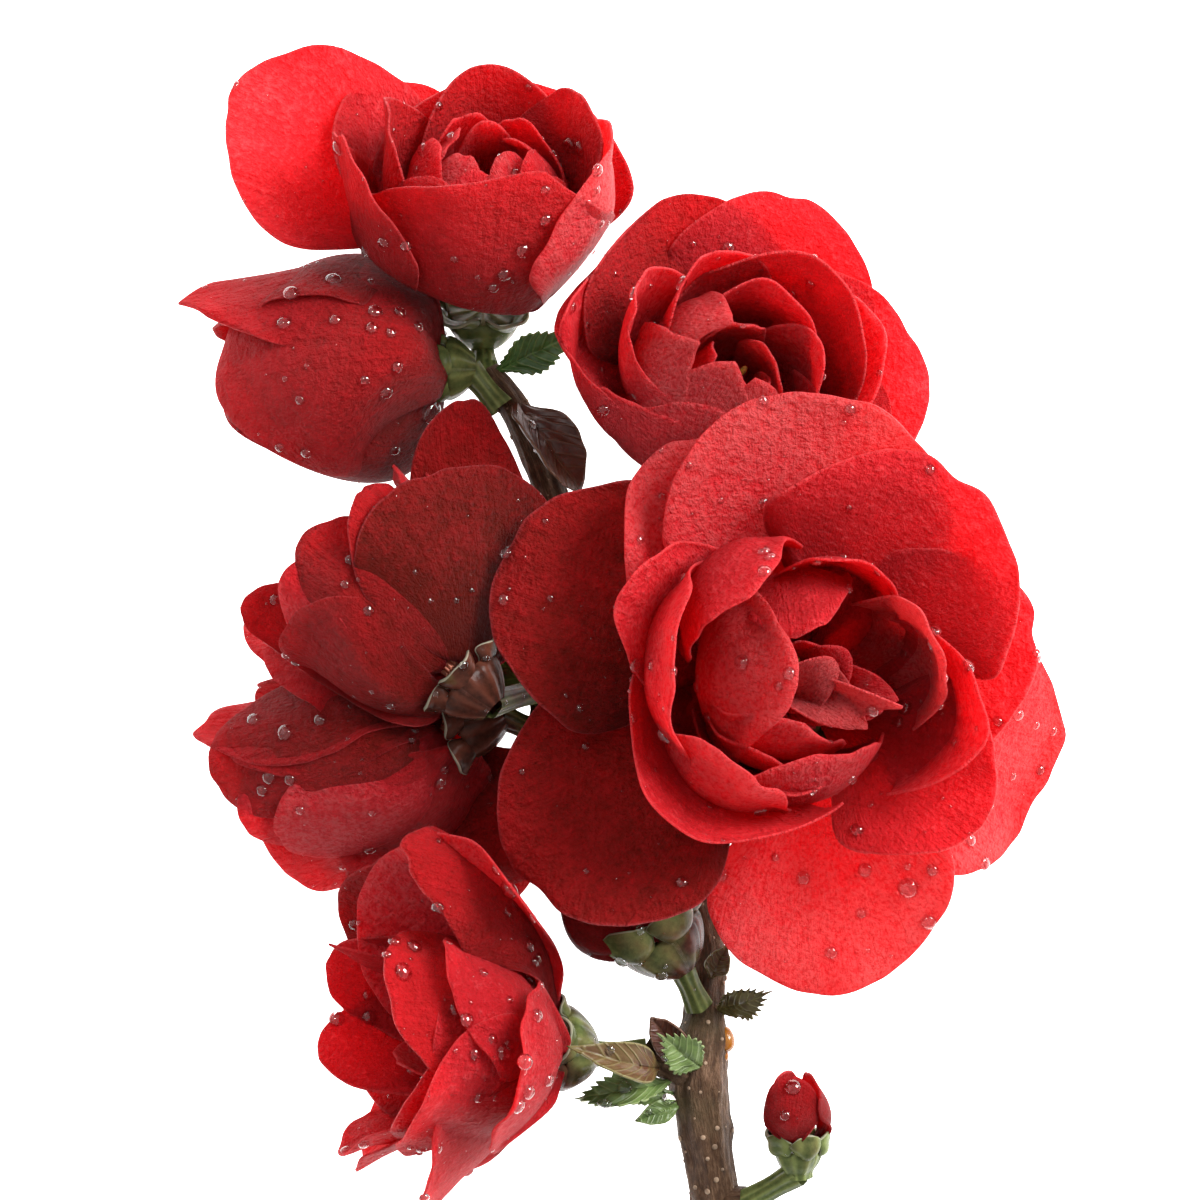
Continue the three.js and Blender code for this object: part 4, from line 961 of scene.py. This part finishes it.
class StageSettings(PropertyGroup):
    """Light and camera."""

    camera_height: length_property("Camera height", "Height of the camera over the surface", 0.525)
    lens: FloatProperty(
        name="Focal length", description="Focal length of the lens", default=500 / 3, unit="CAMERA")
    floor_glow: FloatProperty(
        name="Floor glow", description="Light that the pale floor gives back", default=1.9)
    sky: FloatProperty(name="Sky", description="Strength of the soft light all round", default=0.66)
    key: power_property("Soft box", "Power of the soft box", 11.5)
    key_from: spot_property("Soft box from", "Where the soft box stands", (0.5, 0.35, 0.4))
    fill: power_property("Fill", "Power of the second lamp", 0.8)
    fill_from: spot_property("Fill from", "Where the second lamp stands", (-0.5, 0.3, 0.5))
    sparkle: power_property("Sparkle", "Power of the small lamp that the drops mirror", 0.5)
    sparkle_from: spot_property("Sparkle from", "Where the small lamp stands", (-0.2, 0.3, 0.55))


# ---------------------------------------------------------------- pieces
def settle(piece, slot, *nodes):
    """Lets a finished piece ride on the branch, and stand for its solids."""
    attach(piece, "root")
    if nodes:
        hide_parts(*nodes)
    return piece


class QUINCE_OT_petals(Operator):
    """Makes every bloom's petals, in their layers, as one piece for each bloom"""

    bl_idname = "quince.petals"
    bl_label = "Petals"

    def execute(self, context):
        settings = context.scene.quince_petals
        velvet = petal_material(settings)
        for order, (name, bloom) in enumerate(BLOOMS.items()):
            axes, at, planes = axes_of(*bloom["faces"]), np.array(bloom["at"], float), planes_of(name)
            sheets = Sheets()
            seed = SEED * 1000 + order * 100
            for radius, height, belly, rows in bloom["layers"]:
                start = (radius, height, belly, bloom.get("claw", CLAW))
                for row in rows:
                    seed += 1
                    self.add_petal(sheets, settings, row, start, seed, axes, at, planes, bloom["tone"])
            settle(sheets.object(f"{name}_whorl", velvet), "petal", f"{name}_petals")
        return {"FINISHED"}

    @staticmethod
    def add_petal(sheets, settings, row, start, seed, axes, at, planes, bloom_tone):
        width = row[5]
        tone, point, side = (*row[8:], *OWN_DEFAULTS[len(row) - 8:])
        if tone is None:
            tone = bloom_tone + TONE_SPREAD * math.sin(seed * 12.9898)
        size = min(1.0, width / WIDE)
        crease = settings.crease / MM
        draw = np.random.default_rng(seed)
        roll = draw.uniform(0.1, 1.0) * settings.roll / MM
        notch = max(0, draw.uniform(-0.05, 0.06))
        pleats, turn = draw.uniform(9, 14), draw.uniform(0, 6)

        def relief(x, y):
            rho = np.hypot(x, y)
            folds = crumple(x, y, seed, 8, 2.5, 19.0)
            fan = np.sin(pleats * x / (0.6 + 0.4 * (1 + y) / 2) + turn + 1.2 * np.sin(2.5 * y + turn))
            folds = folds + 0.45 * fan * smoothstep(rho * 1.4 - 0.3)
            curl = roll * smoothstep((rho - 0.72) / 0.28) ** 1.5
            return size * (crease * folds * (0.25 + 0.75 * rho ** 2) - curl)

        surface = midrib_surface(row, *start, point, side, relief=relief)

        def place(x, y):
            x, y = uneven(x, y, seed + 1, settings.uneven, notch)
            return pressed(surface(x, y) @ axes + at, planes)

        rim, body = settings.rim_thickness / MM, settings.body_thickness / MM

        def thickness(x, y):
            return body + (rim - body) * smoothstep(np.hypot(x, y))

        cells = max(LEAST_CELLS, int(settings.cells * min(1.0, 0.35 + width / 30)))
        add_blade(sheets, place, cells, thickness, tone=tone)


class QUINCE_OT_cups(Operator):
    """Makes the calyx cup, sepals and stalk of every bloom"""

    bl_idname = "quince.cups"
    bl_label = "Calyx cups"

    def execute(self, context):
        flesh = calyx_material(context.scene.quince_cups)
        top = -FLOOR - GAP
        for name, bloom in BLOOMS.items():
            radius, depth, reach = bloom["cup"]
            axes, at, flush = axes_of(*bloom["faces"]), np.array(bloom["at"], float), bloom["flush"]
            sheets = Sheets()
            profile = [(STALK, -0.97)] + [(width * radius, height) for width, height in CUP_PROFILE]
            profile = [(r, top + h * depth) for r, h in smooth_profile(profile, 4)]
            turned_shell(sheets, profile, CUP_SIDES, axes, at, flush=flush)
            # Sepals spread under an open bloom and hug a closed one.
            lift, lean, hug = (0.5, 66, 1.5) if bloom["tuft"] else (0.8 * radius, 5, 1.75)
            for k in range(SEPALS):
                row = (360 / SEPALS * k + SEPAL_TURN, reach, top + lift, 76, lean, hug * radius, 1.2, 6)
                surface = midrib_surface(
                    row, 0.6 * radius, top - 0.2 * depth, claw=0.55, point=0.03,
                    relief=lambda x, y, k=k: 0.2 * crumple(x, y, 70 + k, 5, 3, 9))
                add_blade(sheets, lambda x, y: surface(x, y) @ axes + at, SEPAL_CELLS,
                          lambda x, y: 0.6 - 0.34 * np.hypot(x, y) ** 2, spread=0.1, flush=flush)
            neck = at + axes[2] * (top - 0.8 * depth)
            foot = np.array(bloom["foot"], float)
            route = [(*neck, STALK), (*(0.5 * (neck + foot)), STALK * 0.82), (*foot, STALK)]
            limb(sheets, route, LIMB_SIDES, 10, lambda angle, s: 1 + 0.07 * np.cos(5 * angle + 0.3 * s),
                 dome=0.8 * STALK, flush=flush - 0.35)
            settle(sheets.object(f"{name}_cup", flesh), "calyx", f"{name}_calyx")
        return {"FINISHED"}


def add_blade(sheets, place, cells, thickness, spread=1.0, **values):
    """Adds the thin shell that place(x, y) gives over the unit disc, with its attributes."""
    points, faces, x, y = shell_of(place, cells, thickness)
    sheets.add(points, faces, along=(1 + y) / 2, across=x * spread, rim=np.hypot(x, y), **values)


def smooth_profile(profile, steps):
    """Catmull-Rom points through a profile."""
    points = np.array(profile, float)
    padded = np.concatenate([points[:1], points, points[-1:]])
    made = []
    for i in range(len(points) - 1):
        a, b, c, d = padded[i:i + 4]
        for t in np.arange(steps) / steps:
            curve = (c - a) * t + (2 * a - 5 * b + 4 * c - d) * t * t + (3 * b - a - 3 * c + d) * t ** 3
            made.append(b + 0.5 * curve)
    made.append(points[-1])
    return [tuple(p) for p in made]


def tube_faces(count, sides):
    """Faces of a closed tube of rings, whose two end points come after the rings."""
    j = np.arange(sides)
    k = (j + 1) % sides
    walls = [np.stack([i + j, i + k, i + sides + k, i + sides + j], -1)
             for i in range(0, (count - 1) * sides, sides)]
    low, high = np.full(sides, count * sides), np.full(sides, count * sides + 1)
    last = (count - 1) * sides
    caps = [np.stack([low, k, j, j], -1), np.stack([high, last + j, last + k, last + k], -1)]
    return np.concatenate(walls + caps)


def add_tube(sheets, rings, ends, along, **values):
    """Adds a closed tube of rings, each with its value of along, that ends in two points."""
    count, sides = len(rings), len(rings[0])
    across = np.concatenate([np.tile(np.arange(sides) / sides, count), [0, 0]])
    along = np.concatenate([np.repeat(along, sides), [along[0], along[-1]]])
    points = np.concatenate([*rings, ends])
    sheets.add(points, tube_faces(count, sides), along=along, across=across, **values)


def turned_shell(sheets, profile, sides, axes, at, **values):
    """A closed cup turned from (radius, height) pairs, with broad ribs and fine ones."""
    angle = 2 * math.pi * np.arange(sides) / sides
    broad = np.cos(SEPALS * (angle - math.radians(SEPAL_TURN)))
    swell = 1 + 0.045 * broad + 0.014 * np.cos(20 * angle)
    rings = []
    for radius, height in profile:
        r = radius * swell
        ring = np.stack([r * np.cos(angle), r * np.sin(angle), np.full(sides, height)], -1)
        rings.append(ring @ axes + at)
    ends = np.array([[0, 0, profile[0][1]], [0, 0, profile[-1][1]]]) @ axes + at
    add_tube(sheets, rings, ends, np.arange(len(rings)) / len(rings), **values)


def spline(route, steps):
    """Points and radii of a centripetal Catmull-Rom curve through (x, y, z, radius) points."""
    p = np.array(route, float)
    p = np.concatenate([2 * p[:1] - p[1:2], p, 2 * p[-1:] - p[-2:-1]])
    made = []
    for i in range(1, len(p) - 2):
        a, b, c, d = p[i - 1:i + 3]
        knots = [0.0]
        for q, r in ((a, b), (b, c), (c, d)):
            knots.append(knots[-1] + np.linalg.norm(r[:3] - q[:3]) ** 0.5)
        t0, t1, t2, t3 = knots
        for t in t1 + (t2 - t1) * np.arange(steps) / steps:
            a1 = (t1 - t) / (t1 - t0) * a + (t - t0) / (t1 - t0) * b
            a2 = (t2 - t) / (t2 - t1) * b + (t - t1) / (t2 - t1) * c
            a3 = (t3 - t) / (t3 - t2) * c + (t - t2) / (t3 - t2) * d
            b1 = (t2 - t) / (t2 - t0) * a1 + (t - t0) / (t2 - t0) * a2
            b2 = (t3 - t) / (t3 - t1) * a2 + (t - t1) / (t3 - t1) * a3
            made.append((t2 - t) / (t2 - t1) * b1 + (t - t1) / (t2 - t1) * b2)
    made = np.array([*made, p[-2]])
    return made[:, :3], made[:, 3]


def limb(sheets, route, sides, steps, swell, dome=0.0, **values):
    """A closed limb along a route, its radius varied by swell(angle, length along it)."""
    centres, radii = spline(route, steps)
    way = unit(np.gradient(centres, axis=0))
    side = unit(np.cross(way[0], UP))
    length = np.concatenate([[0], np.cumsum(np.linalg.norm(np.diff(centres, axis=0), axis=1))])
    angle = 2 * math.pi * np.arange(sides) / sides
    rings = []
    for i, centre in enumerate(centres):
        side = unit(side - (side @ way[i]) * way[i])
        up = np.cross(way[i], side)
        r = radii[i] * swell(angle, length[i])
        rings.append(centre + np.outer(r * np.cos(angle), side) + np.outer(r * np.sin(angle), up))
    ends = [centres[0] - way[0] * dome, centres[-1] + way[-1] * dome]
    cut = np.concatenate([np.zeros(len(rings) * sides), [1, 0]])
    add_tube(sheets, rings, ends, length, cut=cut, **values)


def lump(sheets, centre, sizes, seed, rough):
    """An uneven rounded lump, such as resin that has run out and set."""
    turns, rows = 28, 18
    angle = 2 * math.pi * np.arange(turns) / turns
    rings = []
    for tilt in np.linspace(0.03, math.pi - 0.03, rows):
        x, y, z = np.sin(tilt) * np.cos(angle), np.sin(tilt) * np.sin(angle), np.full(turns, -np.cos(tilt))
        size = 1 + rough * (crumple(x, y, seed, 4, 2, 5) + crumple(y, z, seed + 1, 4, 2, 5))
        rings.append(np.stack([x, y, z], -1) * size[:, None] * np.array(sizes) + np.array(centre))
    add_tube(sheets, rings, [rings[0].mean(0), rings[-1].mean(0)], np.zeros(rows))


class QUINCE_OT_twig(Operator):
    """Makes the ridged twig with its knots and spurs, its pores and a bead of resin"""

    bl_idname = "quince.twig"
    bl_label = "Twig"

    def execute(self, context):
        settings = context.scene.quince_bark
        ridge = settings.ridge / MM

        def swell(angle, s):
            ridges = np.sin(7 * angle + 1.5 * np.sin(0.22 * s)) + 0.6 * np.sin(12 * angle - 0.5 * s)
            lumps = 0.5 * np.sin(3 * angle + 0.9 * s) + 0.5 * np.sin(2.1 * s) * np.sin(5 * angle + 0.3 * s)
            knots = sum(0.1 * math.exp(-((s - knot) / 1.3) ** 2) for knot in KNOTS)
            return 1 + knots + 0.3 * ridge * (ridges + lumps)

        sheets = Sheets()
        limb(sheets, TWIG, settings.sides, 26, swell)
        for route in SPURS:
            limb(sheets, route, LIMB_SIDES, 14, swell, dome=0.3)
        piece = settle(sheets.object("ridged_twig", bark_material(settings)), "bark", "twig")
        pore = speckled_material("bark_pore", (0.1, 0.06, 0.035), (0.36, 0.25, 0.16), Roughness=0.7)
        pores = grown("bark_pores", scatter_tree(), piece.data.copy(), Spacing=0.0011, Density=4e5,
                      Least=0.00008, Most=0.0003, Rarity=1.6, Flatness=0.45, Sky=1e-6, Material=pore)
        settle(pores, "bark")
        resin = Sheets()
        for seed, (centre, sizes) in enumerate(RESIN):
            lump(resin, centre, sizes, seed, 0.06)
        amber = speckled_material("resin_amber", (0.5, 0.14, 0.01), (0.75, 0.3, 0.04), 500.0,
                                  Roughness=0.12, Transmission_Weight=0.6, IOR=1.52)
        settle(resin.object("resin_beads", amber), "bark")
        return {"FINISHED"}


class QUINCE_OT_leaves(Operator):
    """Makes the small leaves, scales and stipules"""

    bl_idname = "quince.leaves"
    bl_label = "Leaves"

    def execute(self, context):
        greens = {key: green_material(name, *colours) for key, (_, name, *colours) in FINISHES.items()}
        for number, (name, (at, row, teeth, finish)) in enumerate(LEAVES.items()):
            surface = midrib_surface(row, 0, 0, claw=LEAF_CLAW, point=row[8],
                                     relief=self.leaf_relief(row[5], number))
            sheets = Sheets()
            add_blade(sheets, self.toothed(surface, np.array(at, float), teeth), LEAF_CELLS,
                      lambda x, y: 0.5 - 0.3 * np.hypot(x, y))
            settle(sheets.object(f"{name}_blade", greens[finish]), FINISHES[finish][0], name)
        return {"FINISHED"}

    @staticmethod
    def leaf_relief(width, number):
        def relief(x, y):
            rib = -0.25 * np.exp(-(x / 0.12) ** 2)
            veins = 0.06 * np.sin(24 * ((1 + y) / 2 - 0.35 * np.abs(x)))
            return width / 5 * (rib + veins) + 0.14 * crumple(x, y, 50 + number, 5, 3, 12)

        return relief

    @staticmethod
    def toothed(surface, foot, teeth):
        def place(x, y):
            rho, angle = np.hypot(x, y), np.arctan2(y, x)
            saw = np.abs(((angle / (2 * math.pi) * TEETH) % 1) - 0.5) * 2
            size = 1 - 1.4 * teeth * saw * rho ** 6
            return surface(x * size, y * size) + foot

        return place


class QUINCE_OT_stamens(Operator):
    """Grows a tuft of stamens in every open bloom"""

    bl_idname = "quince.stamens"
    bl_label = "Stamens"

    def execute(self, context):
        settings = context.scene.quince_stamens
        tree, gold = tuft_tree(), stamen_material(settings)
        for name, bloom in BLOOMS.items():
            if bloom["tuft"] is None:
                continue
            count, spread, length = bloom["tuft"]
            piece = grown(f"{name}_tuft", tree, bpy.data.meshes.new("seed"), Count=count,
                          Spread=spread * MM, Length=length * MM, Lean=settings.lean,
                          Thickness=settings.thickness, Material=gold)
            axes = axes_of(*bloom["faces"])
            foot = np.array(bloom["at"], float) + axes[2]
            piece.data.transform(Matrix.Translation(metres(foot)) @ Matrix(axes.T).to_4x4())
            settle(piece, "stamen", f"{name}_stamens")
        return {"FINISHED"}


class QUINCE_OT_drops(Operator):
    """Scatters fine drops over everything that is open to the sky, and sets the large ones"""

    bl_idname = "quince.drops"
    bl_label = "Water drops"

    def execute(self, context):
        settings = context.scene.quince_drops
        wet = [o for o in context.scene.objects if o.name.endswith(("_whorl", "_cup", "_blade"))]
        if not wet:
            raise RuntimeError("Make the petals, cups and leaves before the drops")
        whole = bmesh.new()
        for piece in wet:
            whole.from_mesh(piece.data)
        surface = bpy.data.meshes.new("wet_surface")
        whole.to_mesh(surface)
        tree = BVHTree.FromBMesh(whole)
        whole.free()
        water = water_material()
        fine = grown("fine_drops", scatter_tree(), surface, Spacing=settings.spacing,
                     Density=settings.density, Least=settings.least, Most=settings.most, Rarity=3.2,
                     Flatness=0.62, Lowest_tilt=-0.1, Sky=0.1, Material=water)
        settle(fine, None)
        stage = context.scene.quince_stage
        eye = Vector((*metres((0, 0, 0))[:2], stage.camera_height))
        pixel = SENSOR / stage.lens * stage.camera_height / VIEW_WIDTH
        spots, lifts, sizes = [], [], []
        for column, row, width in LARGE_DROPS:
            seen = eye + Vector(((column - VIEW_WIDTH / 2) * pixel, (VIEW_WIDTH / 2 - row) * pixel, -eye.z))
            spot, normal, _, _ = tree.ray_cast(eye, seen - eye)
            if spot is None:
                raise RuntimeError(f"Nothing carries the drop at {column}, {row}")
            spots.append(spot)
            lifts.append(normal if normal.z > 0 else -normal)
            sizes.append(width * MM / 2)
        points = bpy.data.meshes.new("large_drop_points")
        points.from_pydata(spots, [], [])
        points.attributes.new("lift", "FLOAT_VECTOR", "POINT").data.foreach_set("vector", np.ravel(lifts))
        points.attributes.new("size", "FLOAT", "POINT").data.foreach_set("value", sizes)
        settle(grown("large_drops", bead_tree(), points, Flatness=0.68, Material=water), None)
        return {"FINISHED"}


class QUINCE_OT_stage(Operator):
    """Sets the pale floor, the soft light and the camera"""

    bl_idname = "quince.stage"
    bl_label = "Stage"

    def execute(self, context):
        scene = context.scene
        settings = scene.quince_stage
        centre = Vector(metres((0, 0, 0)))
        corners = [(x * FLOOR_REACH, y * FLOOR_REACH, 0) for x, y in ((-1, -1), (1, -1), (1, 1), (-1, 1))]
        mesh = bpy.data.meshes.new("floor")
        mesh.from_pydata(corners, [], [(0, 1, 2, 3)])
        mesh.materials.append(Surface("pale_floor").dress(
            Base_Color=(0.9, 0.9, 0.9), Roughness=0.9, Emission_Color=(1, 1, 1),
            Emission_Strength=settings.floor_glow))
        floor = bpy.data.objects.new("floor", mesh)
        floor.location.z = -FLOOR_DROP
        scene.collection.objects.link(floor)
        world = bpy.data.worlds.new("soft_light")
        world.use_nodes = True
        sky = world.node_tree.nodes["Background"]
        sky.inputs[0].default_value = (1, 1, 1, 1)
        sky.inputs[1].default_value = settings.sky
        scene.world = world
        self.add_light("soft_box", settings.key_from, 0.4, settings.key, centre)
        self.add_light("fill", settings.fill_from, 0.6, settings.fill, centre)
        self.add_light("sparkle", settings.sparkle_from, 0.06, settings.sparkle, centre)
        data = bpy.data.cameras.new("camera")
        data.lens, data.sensor_width = settings.lens, SENSOR
        data.clip_start, data.clip_end = 0.01, 20
        camera = bpy.data.objects.new("camera", data)
        camera.location = (centre[0], centre[1], settings.camera_height)
        scene.collection.objects.link(camera)
        scene.camera = camera
        scene.view_settings.view_transform = "Standard"
        return {"FINISHED"}

    @staticmethod
    def add_light(name, spot, size, power, centre):
        data = bpy.data.lights.new(name, "AREA")
        data.size = size
        data.energy = power
        lamp = bpy.data.objects.new(name, data)
        lamp.location = Vector(spot) + centre
        lamp.rotation_mode = "QUATERNION"
        lamp.rotation_quaternion = (centre - lamp.location).to_track_quat("-Z", "Y")
        bpy.context.scene.collection.objects.link(lamp)


class QUINCE_PT_panel(Panel):
    """Buttons and settings of the branch"""

    bl_label = "Flowering quince"
    bl_space_type = "VIEW_3D"
    bl_region_type = "UI"
    bl_category = "Quince"

    def draw(self, context):
        for operator in OPERATORS:
            self.layout.operator(operator.bl_idname)
        for group in SETTINGS:
            box = self.layout.box()
            settings = getattr(context.scene, group)
            for key in SETTINGS[group].__annotations__:
                box.prop(settings, key)


OPERATORS = (QUINCE_OT_petals, QUINCE_OT_cups, QUINCE_OT_twig, QUINCE_OT_leaves, QUINCE_OT_stamens,
             QUINCE_OT_drops, QUINCE_OT_stage)
SETTINGS = {
    "quince_petals": PetalSettings, "quince_cups": CupSettings, "quince_bark": BarkSettings,
    "quince_stamens": StamenSettings, "quince_drops": DropSettings, "quince_stage": StageSettings,
}


def register():
    for group, kind in SETTINGS.items():
        bpy.utils.register_class(kind)
        setattr(bpy.types.Scene, group, PointerProperty(type=kind))
    for operator in OPERATORS:
        bpy.utils.register_class(operator)
    bpy.utils.register_class(QUINCE_PT_panel)


def unregister():
    bpy.utils.unregister_class(QUINCE_PT_panel)
    for operator in reversed(OPERATORS):
        bpy.utils.unregister_class(operator)
    for group, kind in SETTINGS.items():
        delattr(bpy.types.Scene, group)
        bpy.utils.unregister_class(kind)


def main():
    register()
    bpy.ops.quince.petals()
    bpy.ops.quince.cups()
    bpy.ops.quince.twig()
    bpy.ops.quince.leaves()
    bpy.ops.quince.stamens()
    bpy.ops.quince.drops()
    bpy.ops.quince.stage()


if __name__ == "__main__":
    main()
